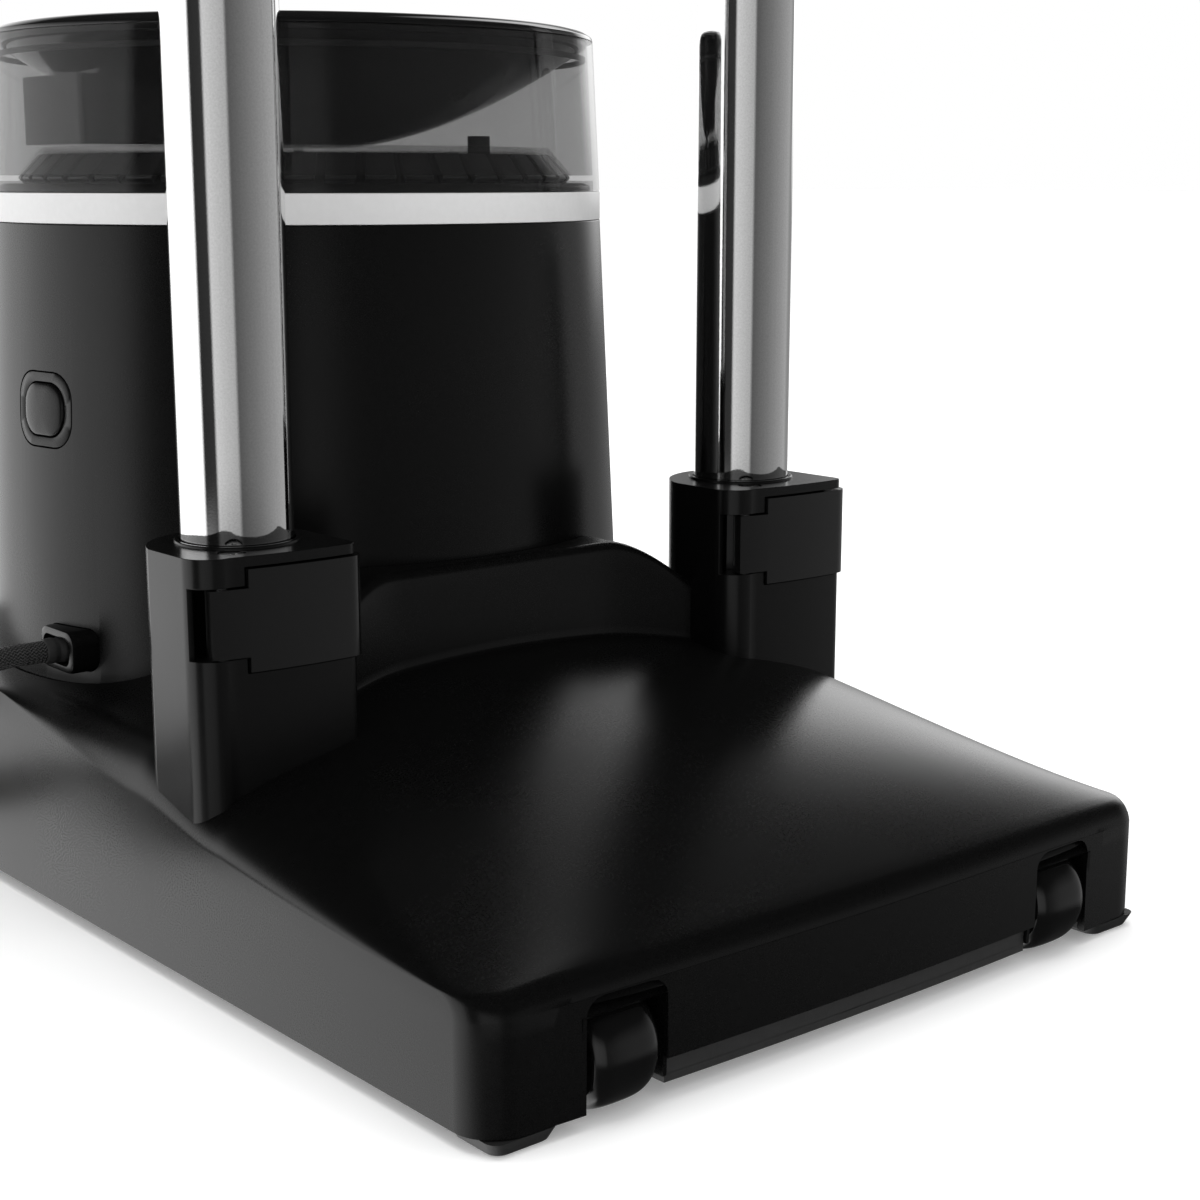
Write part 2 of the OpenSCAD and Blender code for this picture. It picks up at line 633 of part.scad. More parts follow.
pump_in = foot_h + pan_t + 55;
feed_x = pump_p.x + pump_port;
module feed_tube() drum_tube([
    [valve_p.x, valve_p.y, seat_top - 17], [valve_p.x, valve_p.y, seat_top - 40],
    [valve_p.x + 5, valve_p.y + 6, seat_top - 60], [valve_p.x + 14, valve_p.y + 20, seat_top - 84],
    [feed_x - 10, -22, 160], [feed_x, -4, 136], [feed_x + 2, 14, 116], [feed_x, pump_p.y - 3, 98],
    [feed_x, pump_p.y, 84], [feed_x, pump_p.y, pump_in + 0.5]], tube_r);

outlet_x = pump_p.x - pump_port;
boiler_top = boiler_z + boiler_h;
module boiler_tube() color("#dcdcdc") at_drum() sweep([
    [-30, 0, boiler_top - 24], [-30, 0, boiler_top + 12], [-28, 8, boiler_top + 18],
    [-16, 32, boiler_top + 16], [10, 52, boiler_top + 13], [36, 54, boiler_top + 6],
    [58, 46, boiler_top - 6], [outlet_x - 2, 36, boiler_top - 26], [outlet_x, pump_p.y, boiler_top - 50],
    [outlet_x, pump_p.y, 84], [outlet_x, pump_p.y, pump_in + 0.5]], tube_r - slide_fit, 10, [1, 0, 0]);

module steam_tube() color("#d0d0d0") at_drum() sweep([
    [0, 0, boiler_top - 24], [0, 0, boiler_top + 16], [0, 4, boiler_top + 26],
    [0, 16, boiler_top + 34], [0, 40, boiler_top + 30], [0, 66, boiler_top + 10],
    [0, 84, port_z + 6], [0, 98, port_z], [0, 112, port_z]], tube_r - slide_fit, 10, [1, 0, 0]);

module hose_port() color("#202020") at_drum(90) translate([0, 0, port_z]) rotate([0, 90, 0]) difference() {
    union() {
        translate([0, 0, drum_radius(port_z) - 14]) cylinder(r = port_d / 2 + 2, h = 16);
        translate([0, 0, drum_radius(port_z) + 1]) cylinder(r = port_d / 2 + 5, h = 3);
        translate([0, 0, drum_radius(port_z) + 3]) cylinder(r = port_d / 2, h = port_l + 1);
    }
    translate([0, 0, 90]) cylinder(r = tube_r, h = 100);
}

// ---------- tank ----------

wall_drop = tank_top_r - drum_r;
function wall_r(z) = drum_r - 0.1 + (wall_drop + 0.1) * (z - band_top) / tank_h;
floor_z = seat_top + 0.5;
floor_t = 2;
skirt_z = band_top + 4.2;

module tank_shell() color("#c8ced2", 0.35) difference() {
    at_drum() rotate_extrude() polygon([
        [wall_r(band_top), band_top + 0.1], [tank_top_r, rim_z], [tank_top_r - tank_t, rim_z],
        [wall_r(skirt_z + floor_t) - tank_t, skirt_z + floor_t],
        [drum_r - 11, skirt_z + floor_t], [drum_r - 20.1, floor_z + floor_t],
        [0, floor_z + floor_t], [0, floor_z], [drum_r - 21, floor_z], [drum_r - 12, skirt_z],
        [drum_r - 2.6, skirt_z], [drum_r - 2.6, band_top + 0.1]]);
    at_valve() translate([0, 0, floor_z - 5]) cylinder(r = valve_body_r, h = 20);
}

dish_r0 = 17;
dish_r1 = tank_top_r - tank_t - fit;
function dish_at(r) = rim_z - dish_h + dish_h * pow(clamp01((r - dish_r0) / (dish_r1 + 2.7 - dish_r0)), 1.7);

module dish_profile() {
    n = 22;
    under = [for (k = [0 : n]) let (r = mix(dish_r0, dish_r1, k / n)) [r, dish_at(r)]];
    over = [for (k = [n : -1 : 0]) let (r = mix(dish_r0, dish_r1 - 9, k / n)) [r, dish_at(r) + lid_t + 2.2 * k / n]];
    polygon(concat([[0, dish_at(0)]], under,
        [[dish_r1, rim_z + slide_fit], [tank_top_r, rim_z + slide_fit], [tank_top_r - 0.4, rim_z + 1.6],
         [tank_top_r - 3, rim_z + 3.2], [tank_top_r - 7, rim_z + 4.2], [tank_top_r - 9.5, rim_z + 3.6]],
        over, [[0, dish_at(0) + lid_t]]));
}

module tank_lid() color("#0c0c0c") difference() {
    at_drum() rotate_extrude() dish_profile();
    at_drum() translate([chamber_x, 0, 0]) translate([0, 0, floor_z]) linear_extrude(60)
        round_rect(-neck_w / 2, -neck_d / 2, neck_w / 2, neck_d / 2, 5);
}

module lid_gasket() color("#303030") at_drum() rotate_extrude() polygon([
    [dish_r1 - 1.8, rim_z - 7.5], [dish_r1 - 0.2, rim_z - 7.5], [dish_r1 - 0.2, rim_z - 5.5], [dish_r1 - 1.8, rim_z - 5.5]]);

chamber_x = -78;
neck_w = 34;
neck_d = 44;
chamber_w = 54;
module filter_chamber() color("#26282a", 0.8) at_drum() translate([chamber_x, 0, 0]) difference() {
    union() {
        intersection() {
            translate([0, 0, floor_z + floor_t + 0.5]) linear_extrude(rim_z - floor_z - 18) round_rect(-chamber_w / 2, -chamber_w / 2, chamber_w / 2, chamber_w / 2, 6);
            translate([-chamber_x, 0, 0]) under_dish();
        }
        translate([0, 0, floor_z + floor_t + 0.5]) linear_extrude(rim_z + 0.4 - floor_z - floor_t) round_rect(-neck_w / 2 + 0.1, -neck_d / 2 + 0.1, neck_w / 2 - 0.1, neck_d / 2 - 0.1, 5);
    }
    translate([0, 0, floor_z + floor_t + 3]) linear_extrude(80) round_rect(-neck_w / 2 + 2.4, -neck_d / 2 + 2.4, neck_w / 2 - 2.4, neck_d / 2 - 2.4, 4);
}
module under_dish() rotate_extrude() polygon(concat([[0, 0]], [[0, dish_at(0) - 0.2]],
    [for (k = [0 : 22]) let (r = mix(dish_r0, dish_r1, k / 22)) [r, dish_at(r) - 0.2]], [[dish_r1, 0]]));

module filler_cap() color("#1a1a1a") at_drum() translate([chamber_x, 0, rim_z + 1.2]) {
    linear_extrude(3) round_rect(-neck_w / 2 - 1, -neck_d / 2 - 1, neck_w / 2 + 1, neck_d / 2 + 1, 6);
    translate([0, 0, -6]) linear_extrude(6.5) round_rect(-neck_w / 2 + 3, -neck_d / 2 + 3, neck_w / 2 - 3, neck_d / 2 - 3, 3.5);
}

valve_body_r = 4.4;
module tank_valve() color("#202020") at_valve() difference() {
    union() {
        translate([0, 0, floor_z - 10]) cylinder(r = valve_body_r - slide_fit, h = 16.5);
    }
    translate([0, 0, floor_z - 8.5]) cylinder(r = 3, h = 30);
    translate([0, 0, floor_z - 20]) cylinder(r = 1.2 + slide_fit, h = 30);
}
module valve_plunger() color("#b0b0b0") at_valve() {
    translate([0, 0, floor_z - 13.6]) cylinder(r = 1.2, h = 16.6);
    translate([0, 0, floor_z + 2.4]) cylinder(r = 2.8, h = 1.4);
}
spring_turns = 5;
module valve_spring() color("silver") at_valve() sweep([for (k = [0 : spring_turns * 10])
    [2.1 * cos(36 * k), 2.1 * sin(36 * k), mix(floor_z - 8, floor_z + 1.9, k / (spring_turns * 10))]], 0.35, 6);

// ---------- poles ----------

pole_z0 = stem_z + 50.2;
collar_h = 36;
collar_r = 24;
module outer_pole(side) color("#d8d8d8") at_pole(side) pipe(pole_d / 2, pole_t, pole_z0, pole_top);

inner_r = inner_d / 2;
module inner_pole(side) color("#e2e2e2") at_pole(side) pipe(inner_r, 1, pole_top - pole_travel - 40, pole_top + collar_h + 20);

collar_pin = [-6, -collar_r - 3.5];
module pole_collar(side) color("#161616") at_pole(side) difference() {
    union() {
        translate([0, 0, pole_top - 16]) cylinder(r = collar_r, h = collar_h + 8);
        translate([collar_pin.x, collar_pin.y, pole_top - 6]) cylinder(r = 4.5, h = 24);
        block([collar_pin.x - 4.5, collar_pin.y, pole_top - 6], [collar_pin.x + 4.5, -pole_d / 2 - 2, pole_top + 18]);
    }
    translate([0, 0, pole_top - 20]) cylinder(r = pole_d / 2, h = 20);
    translate([0, 0, pole_top - 1]) cylinder(r = inner_r + slide_fit, h = 60);
    block([-50, -60, pole_top - 1], [50, collar_pin.y + 5, pole_top + 13]);
    block([-1, -60, pole_top - 0.5], [1, -inner_r + 2, pole_top + 40]);
    translate([collar_pin.x, collar_pin.y, 0]) cylinder(r = 1.5 + slide_fit, h = 2 * pole_top);
}

module collar_lever(side) color("#101010") at_pole(side) difference() {
    union() {
        translate([collar_pin.x, collar_pin.y, pole_top - 0.5]) cylinder(r = 4.2, h = 13);
        intersection() {
            pipe(collar_r + 9, 5.5, pole_top - 0.5, pole_top + 12.5);
            block([collar_pin.x, -60, 0], [60, -8, 2 * pole_top]);
        }
    }
    translate([collar_pin.x, collar_pin.y, 0]) cylinder(r = 1.5 + slide_fit, h = 2 * pole_top);
}
module collar_pins() color("silver") for (side = [-1, 1]) at_pole(side)
    translate([collar_pin.x, collar_pin.y, pole_top - 7]) cylinder(r = 1.5, h = 26);

head_z = pole_top + collar_h + 6;
head_h = 26;
module cross_head() color("#171717") translate([0, pole_y, 0]) difference() {
    union() {
        translate([0, 0, head_z]) linear_extrude(head_h) round_rect(-pole_x - 24, -19, pole_x + 24, 19, 18.5);
        translate([0, 0, head_z + head_h - e]) cylinder(r = 16, h = 8);
    }
    for (s = [-1, 1]) translate([s * pole_x, 0, head_z - 1]) cylinder(r = inner_r, h = head_h - 3);
    translate([0, 0, head_z - 1]) linear_extrude(head_h - 3) round_rect(-pole_x + 30, -15, pole_x - 30, 15, 8);
    translate([0, 0, head_z]) cylinder(r = 3 + slide_fit, h = 60);
    for (s = [-1, 1]) translate([s * 16, -10, head_z + 8]) rotate([90, 0, 0]) cylinder(r = 1.6, h = 30);
}

// Swivelling hook on top of the cross head.
hook_r = 24;
hook_wire = 3;
hook_z = head_z + head_h + 8 + 14 + hook_r;
module hanger_hook() color("#dddddd") translate([0, pole_y, 0]) {
    translate([0, 0, head_z + head_h - 12]) cylinder(r = hook_wire, h = hook_z - hook_r - head_z - head_h + 12);
    translate([0, 0, head_z + head_h + 8.2]) cylinder(r = 6, h = 4);
    translate([0, 0, hook_z]) rotate([90, 0, 0]) rotate([0, 0, -90]) rotate_extrude(angle = 260)
        translate([hook_r, 0]) circle(r = hook_wire);
}

module head_rest() color("#1b1b1b") translate([0, pole_y - 19, head_z]) difference() {
    union() {
        block([-26, -4, 0], [26, -slide_fit, head_h]);
        block([-26, -38, 0], [26, -3, 4]);
        block([-26, -38, 0], [26, -34, 16]);
    }
    block([-10, -50, -1], [10, -12, 30]);
    for (s = [-1, 1]) translate([s * 16, 5, 8]) rotate([90, 0, 0]) cylinder(r = 1.6, h = 20);
}

// ---------- cord ----------

gland_w = 26;
gland_hh = 7.8;
cord_r = cord_d / 2;
relief_l = 30;
relief_x = -134;
// Pieces that point out of the housing's left side, in line with the cord.
module at_gland(x) translate([x, drum_y - gland_dy, gland_z]) rotate([90, 0, -90]) children();

module cord_gland() color("#0d0d0d") at_gland(-gland_x + 12) difference() {
    linear_extrude(18.4) round_rect(-gland_w / 2, -gland_hh, gland_w / 2, gland_hh, 5);
    translate([0, 0, -1]) cylinder(r = cord_r + 2.6, h = 30);
}

module strain_relief() color("#161616") at_gland(relief_x + relief_l) rotate_extrude()
    polygon([[0, 0], [cord_r + 2.6 - slide_fit, 0], [cord_r + 2.6 - slide_fit, 6], [cord_r + 0.6, relief_l], [0, relief_l]]);

// Route of the cord from the gland to the floor; it then joins the coil.
route = [[-134, 55, 91], [-140, 55, 91], [-146, 55.2, 91], [-156, 55.6, 89.5], [-165, 56, 86],
    [-173, 56.3, 80], [-179, 56.5, 72], [-183, 56.7, 63], [-184, 56.8, 53], [-184, 56.9, 42],
    [-185.5, 57, 32], [-189, 57, 23], [-195, 57, 15], [-203, 57, 9], [-212, 57, 5.5], [-222, 57, 4.2],
    [-236, 57, 4.2]];
module power_cord() color("#0a0a0a") sweep(route, cord_r, 10);

coil_p = [-266, 114];
coil_lift = 0.6;
coil_x0 = coil_r - 1.875 * cord_d;
coil_x1 = coil_r + 1.875 * cord_d;
module cord_coil() color("#0a0a0a") translate([coil_p.x, coil_p.y, coil_lift]) rotate_extrude()
    translate([coil_x0, 0]) square([coil_x1 - coil_x0, 2 * cord_d]);

tie_t = 0.5;
module cord_tie() color("#303030") translate([coil_p.x, coil_p.y, 0]) difference() {
    block([-coil_x1 - 0.4 - tie_t, -6, slide_fit], [-coil_x0 + 0.9 + tie_t, 6, 2 * cord_d + coil_lift + 0.1 + tie_t]);
    block([-coil_x1 - 0.4, -7, coil_lift - fit / 6], [-coil_x0 + 0.9, 7, 2 * cord_d + coil_lift + 0.1]);
}

// Two-pin plug that lies flat beside the coil.
plug_p = [-233, 171, 8];
module at_plug(d) translate([plug_p.x + d, plug_p.y, plug_p.z]) rotate([90, 0, 90]) children();
module plug_body() color("#141414") {
    at_plug(0) cylinder(r1 = cord_r + 0.8, r2 = 6.5, h = 22.5);
    at_plug(22) linear_extrude(34) round_rect(-13, -7.5, 13, 7.5, 6);
}
module plug_pins() color("silver") for (s = [-1, 1])
    translate([0, s * 9.5, 0]) at_plug(56) cylinder(r = 2, h = 19);

base_shell();
bottom_pan();
rubber_feet();
pan_screws();
wheel(-1);  // wheel_left
wheel(1);  // wheel_right
axle(-1);  // axle_left
axle(1);  // axle_right
pole_socket(-1);  // pole_socket_left
pole_socket(1);  // pole_socket_right
socket_screws();
lever(-1);  // lever_left
lever(1);  // lever_right
lever_pin(-1);  // lever_pin_left
lever_pin(1);  // lever_pin_right
clamp_pad(-1);  // clamp_pad_left
clamp_pad(1);  // clamp_pad_right
boiler_housing();
light_band();
tank_seat();
valve_receiver();
button_bezel();
power_button();
power_switch();
control_board();
boiler();
boiler_stand();
thermostat();
water_pump();
feed_tube();
boiler_tube();
steam_tube();
hose_port();
tank_shell();
tank_lid();
lid_gasket();
filter_chamber();
tank_valve();
valve_plunger();
valve_spring();
filler_cap();
outer_pole(-1);  // outer_pole_left
outer_pole(1);  // outer_pole_right
pole_collar(-1);  // pole_collar_left
pole_collar(1);  // pole_collar_right
collar_lever(-1);  // collar_lever_left
collar_lever(1);  // collar_lever_right
collar_pins();
inner_pole(-1);  // inner_pole_left
inner_pole(1);  // inner_pole_right
cross_head();
hanger_hook();
head_rest();
cord_gland();
strain_relief();
power_cord();
cord_coil();
cord_tie();
plug_body();
plug_pins();
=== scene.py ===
# Upright garment steamer, dressed over its fixed frame. Lengths are in metres.
import json
import math

import bmesh
import bpy
from mathutils import Matrix, Vector


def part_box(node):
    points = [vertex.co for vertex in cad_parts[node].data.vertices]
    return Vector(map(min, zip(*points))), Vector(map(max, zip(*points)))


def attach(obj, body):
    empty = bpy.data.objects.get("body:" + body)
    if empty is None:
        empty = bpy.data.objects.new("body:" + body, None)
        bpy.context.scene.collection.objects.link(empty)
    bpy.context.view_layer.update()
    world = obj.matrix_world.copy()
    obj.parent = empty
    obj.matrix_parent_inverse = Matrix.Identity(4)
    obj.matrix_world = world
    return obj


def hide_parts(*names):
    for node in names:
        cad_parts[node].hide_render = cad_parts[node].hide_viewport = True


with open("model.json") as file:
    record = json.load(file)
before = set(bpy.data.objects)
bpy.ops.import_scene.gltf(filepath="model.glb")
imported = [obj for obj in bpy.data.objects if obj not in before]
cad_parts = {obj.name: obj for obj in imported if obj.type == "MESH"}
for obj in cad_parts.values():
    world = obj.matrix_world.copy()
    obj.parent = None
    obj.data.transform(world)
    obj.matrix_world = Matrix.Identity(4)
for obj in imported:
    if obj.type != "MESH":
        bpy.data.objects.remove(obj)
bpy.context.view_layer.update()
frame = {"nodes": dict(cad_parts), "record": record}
nodes = frame["nodes"]
scene = bpy.context.scene
scene.view_settings.view_transform = "Standard"
mm = 0.001


def middle(node):
    low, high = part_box(node)
    return (low + high) / 2


drumAt = middle("light_band")
leftPole = middle("outer_pole_left")
rightPole = middle("outer_pole_right")
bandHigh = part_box("light_band")[1]

# camera
viewpoint = {"place": (-0.4549, -0.6386, 0.2592), "forward": (0.6322, 0.7490, -0.1982), "lens": 62.436}
forward = Vector(viewpoint["forward"]).normalized()
sideways = forward.cross(Vector((0, 0, 1))).normalized()
upward = sideways.cross(forward)
eye = bpy.data.objects.new("camera", bpy.data.cameras.new("camera"))
eye.data.lens, eye.data.sensor_width = viewpoint["lens"], 36
eye.matrix_world = Matrix((sideways, upward, -forward)).transposed().to_4x4()
eye.location = viewpoint["place"]
scene.collection.objects.link(eye)
scene.camera = eye


# shader building
class Wire:
    def __init__(self, maker, socket):
        self.maker, self.socket = maker, socket

    def sum(self, operation, first, second):
        return self.maker.add("ShaderNodeMath", {"operation": operation}, {0: first, 1: second})

    def __add__(self, other):
        return self.sum("ADD", self, other)

    def __radd__(self, other):
        return self.sum("ADD", other, self)

    def __sub__(self, other):
        return self.sum("SUBTRACT", self, other)

    def __rsub__(self, other):
        return self.sum("SUBTRACT", other, self)

    def __mul__(self, other):
        return self.sum("MULTIPLY", self, other)

    def __rmul__(self, other):
        return self.sum("MULTIPLY", other, self)

    def __truediv__(self, other):
        return self.sum("DIVIDE", self, other)

    def __gt__(self, other):
        return self.sum("GREATER_THAN", self, other)

    def __lt__(self, other):
        return self.sum("LESS_THAN", self, other)

    def calc(self, operation, other=0.0):
        return self.sum(operation, self, other)


class Maker:
    def __init__(self, tree):
        self.tree = tree

    def add(self, kind, settings=None, sockets=None, output=0):
        made = self.tree.nodes.new(kind)
        for key, value in (settings or {}).items():
            if key == "stops":
                ramp = made.color_ramp
                while len(ramp.elements) < len(value):
                    ramp.elements.new(0.5)
                for spot, (position, colour) in zip(ramp.elements, value):
                    spot.position, spot.color = position, colour
            elif key == "interpolation":
                made.color_ramp.interpolation = value
            else:
                setattr(made, key, value)
        for key, value in (sockets or {}).items():
            if isinstance(value, Wire):
                self.tree.links.new(value.socket, made.inputs[key])
            else:
                made.inputs[key].default_value = value
        return Wire(self, made.outputs[output]) if len(made.outputs) else made


def grey(level, blue=1.0):
    return (level, level, level * blue, 1)


def newFinish(name):
    made = bpy.data.materials.new(name)
    made.use_nodes = True
    made.node_tree.nodes.clear()
    return made, Maker(made.node_tree)


def closeFinish(maker, **sockets):
    spaced = {key.replace("_", " "): value for key, value in sockets.items()}
    shader = maker.add("ShaderNodeBsdfPrincipled", None, spaced)
    maker.add("ShaderNodeOutputMaterial", None, {"Surface": shader})


def place(maker):
    return maker.add("ShaderNodeNewGeometry", None, None, "Position")


def noise(maker, where, scale, detail=3.0, rough=0.5):
    settings = {"Vector": where, "Scale": scale, "Detail": detail, "Roughness": rough}
    return maker.add("ShaderNodeTexNoise", None, settings, "Fac")


def stretched(maker, where, factors):
    return maker.add("ShaderNodeVectorMath", {"operation": "MULTIPLY"}, {0: where, 1: factors})


def tint(maker, low, high, amount):
    return maker.add("ShaderNodeMix", {"data_type": "RGBA"}, {0: amount, 6: low, 7: high}, 2)


def bumped(maker, height, distance, strength=1.0):
    return maker.add("ShaderNodeBump", None, {"Strength": strength, "Distance": distance, "Height": height})


def plastic(name, dark, light, roughness, grain=1500.0, depth=0.000012, smear=0.06, ior=1.5, coat=0.0):
    made, maker = newFinish(name)
    at = place(maker)
    fine = noise(maker, at, grain, 2.0)
    cloud = noise(maker, at, 22.0, 3.0)
    fleck = noise(maker, at, 420.0, 2.0)
    closeFinish(maker, Base_Color=tint(maker, dark, light, fleck),
                Roughness=cloud * smear + (fine * 0.05 + (roughness - 0.5 * smear - 0.025)),
                IOR=ior, Coat_Weight=coat, Normal=bumped(maker, fine, depth))
    return made


finishes = {}
finishes["blackShell"] = plastic("satin black shell", grey(0.0012), grey(0.0026), 0.28, ior=1.34)
finishes["blackSocket"] = plastic("satin black sockets", grey(0.0012), grey(0.0026), 0.25, ior=1.38)
finishes["darkPan"] = plastic("dark grey pan", grey(0.016), grey(0.026), 0.5, 900.0, 0.00003)
finishes["blackGloss"] = plastic("polished black levers", grey(0.002), grey(0.0035), 0.17, 1800.0, 0.000004, 0.04)
finishes["whiteBand"] = plastic("satin white band", grey(0.60), grey(0.66), 0.3, 1200.0, 0.000006)
# lighter grey for the seat's rib pads than the black seat: painted light on the rib tops against the shaded gaps
# between them
finishes["padPaintedLit"] = plastic("dark grey seat pads", grey(0.030), grey(0.045), 0.3, 900.0, 0.00002)
finishes["smokedDark"] = plastic("deep smoked plastic", grey(0.004), grey(0.007), 0.07, 1200.0, 0.000001, 0.03)
finishes["milkyTube"] = plastic("milky silicone tube", grey(0.55, 0.96), grey(0.66, 0.96), 0.35)


def smokedClear():
    made, maker = newFinish("smoked clear tank")
    at = place(maker)
    cloud = noise(maker, at, 16.0, 3.0)
    speck = noise(maker, at, 900.0, 1.0)
    closeFinish(maker, Base_Color=tint(maker, grey(0.008), grey(0.016), cloud), Roughness=cloud * 0.03 + 0.02, IOR=1.49,
                Alpha=cloud * 0.03 + (speck > 0.74) * 0.08 + 0.335, Normal=bumped(maker, cloud, 0.00004))
    return made


finishes["smokedClear"] = smokedClear()


def tubeMetal():
    made, maker = newFinish("polished steel tube")
    at = place(maker)
    streak = noise(maker, stretched(maker, at, (900.0, 900.0, 9.0)), 1.0, 3.0)
    speck = noise(maker, at, 1500.0, 2.0)
    closeFinish(maker, Base_Color=tint(maker, grey(0.62), grey(0.84), speck * 0.75 + streak * 0.25), Metallic=1.0,
                Roughness=streak * 0.05 + 0.035, Normal=bumped(maker, speck, 0.000004))
    return made


finishes["tubeMetal"] = tubeMetal()


def brushedSteel(name, low, high, roughness):
    made, maker = newFinish(name)
    at = place(maker)
    streak = noise(maker, stretched(maker, at, (160.0, 2400.0, 2400.0)), 1.0, 3.0)
    closeFinish(maker, Base_Color=tint(maker, low, high, streak), Metallic=1.0, Roughness=streak * 0.14 + roughness,
                Normal=bumped(maker, streak, 0.000006))
    return made


finishes["steel"] = brushedSteel("zinc plated steel", grey(0.42), grey(0.58), 0.24)
finishes["brass"] = brushedSteel("pin brass", (0.62, 0.45, 0.20, 1), (0.76, 0.58, 0.29, 1), 0.22)


def castMetal():
    made, maker = newFinish("cast aluminium")
    at = place(maker)
    pit = noise(maker, at, 420.0, 4.0, 0.6)
    stain = noise(maker, at, 26.0, 3.0)
    closeFinish(maker, Base_Color=tint(maker, grey(0.40), grey(0.56), stain), Metallic=1.0, Roughness=pit * 0.2 + 0.34,
                Normal=bumped(maker, pit, 0.00012))
    return made


finishes["castMetal"] = castMetal()


def rubberFinish():
    made, maker = newFinish("soft black rubber")
    at = place(maker)
    fine = noise(maker, at, 1100.0, 3.0, 0.6)
    dust = noise(maker, at, 60.0, 4.0)
    closeFinish(maker, Base_Color=tint(maker, grey(0.011), grey(0.024), dust), Roughness=fine * 0.12 + 0.52,
                Normal=bumped(maker, fine, 0.00003))
    return made


finishes["rubber"] = rubberFinish()


def boardFinish():
    made, maker = newFinish("green circuit board")
    at = place(maker)
    weave = maker.add("ShaderNodeTexVoronoi", {"distance": "MANHATTAN"}, {"Vector": at, "Scale": 260.0}, "Distance")
    pads = maker.add("ShaderNodeTexVoronoi", {"distance": "CHEBYCHEV"},
                     {"Vector": at, "Scale": 180.0, "Randomness": 0.2}, "Distance") < 0.2
    resist = tint(maker, (0.010, 0.085, 0.032, 1), (0.020, 0.13, 0.05, 1), weave)
    colour = tint(maker, resist, (0.55, 0.5, 0.42, 1), pads)
    closeFinish(maker, Base_Color=colour, Roughness=pads * 0.15 + 0.28, Metallic=pads * 0.9,
                Normal=bumped(maker, pads, 0.00006))
    return made


finishes["board"] = boardFinish()


def braidFinish():
    made, maker = newFinish("braided black sleeve")
    both = maker.add("ShaderNodeUVMap", {"uv_map": "lay"}, None)
    split = maker.add("ShaderNodeSeparateXYZ", None, {0: both}).maker
    parts = split.tree.nodes[-1]
    along, around = Wire(maker, parts.outputs[0]), Wire(maker, parts.outputs[1])
    first = ((along + around) * math.tau).calc("SINE")
    second = ((along - around) * math.tau).calc("SINE")
    over = (first * second) > 0.0
    thread = (first.calc("ABSOLUTE")) * over + (second.calc("ABSOLUTE")) * (1 - over)
    fluff = noise(maker, place(maker), 2600.0, 2.0)
    # base colour is lighter on the thread crowns and darker between the threads: painted highlight and painted shade on
    # the weave, with fluff adding random fibre tone
    closeFinish(maker, Base_Color=tint(maker, grey(0.002), grey(0.085), thread * thread * (fluff + 0.4)),
                Roughness=0.6 - thread * 0.2,
                Normal=bumped(maker, thread + fluff * 0.2, 0.0011))
    return made


finishes["cordSleeve"] = braidFinish()
slotFinish = {"black_shell": "blackShell", "dark_pan": "darkPan", "black_gloss": "blackGloss", "white_band": "whiteBand",
              "smoked_clear": "smokedClear", "smoked_dark": "smokedDark", "pole_metal": "tubeMetal", "steel": "steel",
              "rubber": "rubber", "boiler_metal": "castMetal", "tube_silicone": "milkyTube", "board": "board",
              "cord_textile": "cordSleeve", "brass": "brass"}
print("finishes made")


# mesh building
def dressed(piece, finish, body, replaced=()):
    piece.data.materials.clear()
    piece.data.materials.append(finishes[finish])
    scene.collection.objects.link(piece)
    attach(piece, body)
    if replaced:
        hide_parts(*replaced)
    return piece


def meshOf(name, points, faces, sharp=32.0):
    data = bpy.data.meshes.new(name)
    data.from_pydata([tuple(p) for p in points], [], faces)
    tidy = bmesh.new()
    tidy.from_mesh(data)
    bmesh.ops.remove_doubles(tidy, verts=tidy.verts, dist=2e-7)
    bmesh.ops.dissolve_degenerate(tidy, edges=tidy.edges, dist=1e-8)
    bmesh.ops.recalc_face_normals(tidy, faces=tidy.faces)
    tidy.to_mesh(data)
    tidy.free()
    data.polygons.foreach_set("use_smooth", [True] * len(data.polygons))
    data.set_sharp_from_angle(angle=math.radians(sharp))
    return bpy.data.objects.new(name, data)


def ringed(rings, closedAcross=True, closedAlong=False):
    points = [p for ring in rings for p in ring]
    width, count = len(rings[0]), len(rings)
    faces = []
    for i in range(count if closedAlong else count - 1):
        for k in range(width if closedAcross else width - 1):
            a, b = i * width + k, i * width + (k + 1) % width
            c, d = ((i + 1) % count) * width + (k + 1) % width, ((i + 1) % count) * width + k
            faces.append((a, b, c, d))
    return points, faces


def capped(rings):
    points, faces = ringed(rings)
    width = len(rings[0])
    faces.append(tuple(range(width))[::-1])
    faces.append(tuple(range(len(points) - width, len(points))))
    return points, faces


def softened(profile, reach, steps=3):
    made = []
    count = len(profile)
    for i, here in enumerate(profile):
        here = Vector(here)
        before, after = Vector(profile[i - 1]), Vector(profile[(i + 1) % count])
        toBefore, toAfter = before - here, after - here
        tiny = here.x < 1e-6 or toBefore.length < 1e-6 or toAfter.length < 1e-6
        if tiny or toBefore.normalized().dot(toAfter.normalized()) < -0.95:
            made.append(tuple(here))
            continue
        cut = min(reach, toBefore.length * 0.45, toAfter.length * 0.45)
        start, end = here + toBefore.normalized() * cut, here + toAfter.normalized() * cut
        for k in range(steps + 1):
            t = k / steps
            made.append(tuple(start * (1 - t) ** 2 + here * 2 * t * (1 - t) + end * t * t))
    return made


def turned(name, profile, centre, axis=(0, 0, 1), segments=160, soft=0.4, sharp=32.0):
    outline = [(r * mm, z * mm) for r, z in profile]
    outline = softened(outline, soft * mm) if soft else outline
    turn = Vector((0, 0, 1)).rotation_difference(Vector(axis)).to_matrix()
    rings = []
    for k in range(segments):
        a = math.tau * k / segments
        rings.append([Vector(centre) + turn @ Vector((r * math.cos(a), r * math.sin(a), z)) for r, z in outline])
    points, faces = ringed(rings, True, True)
    return meshOf(name, points, faces, sharp)


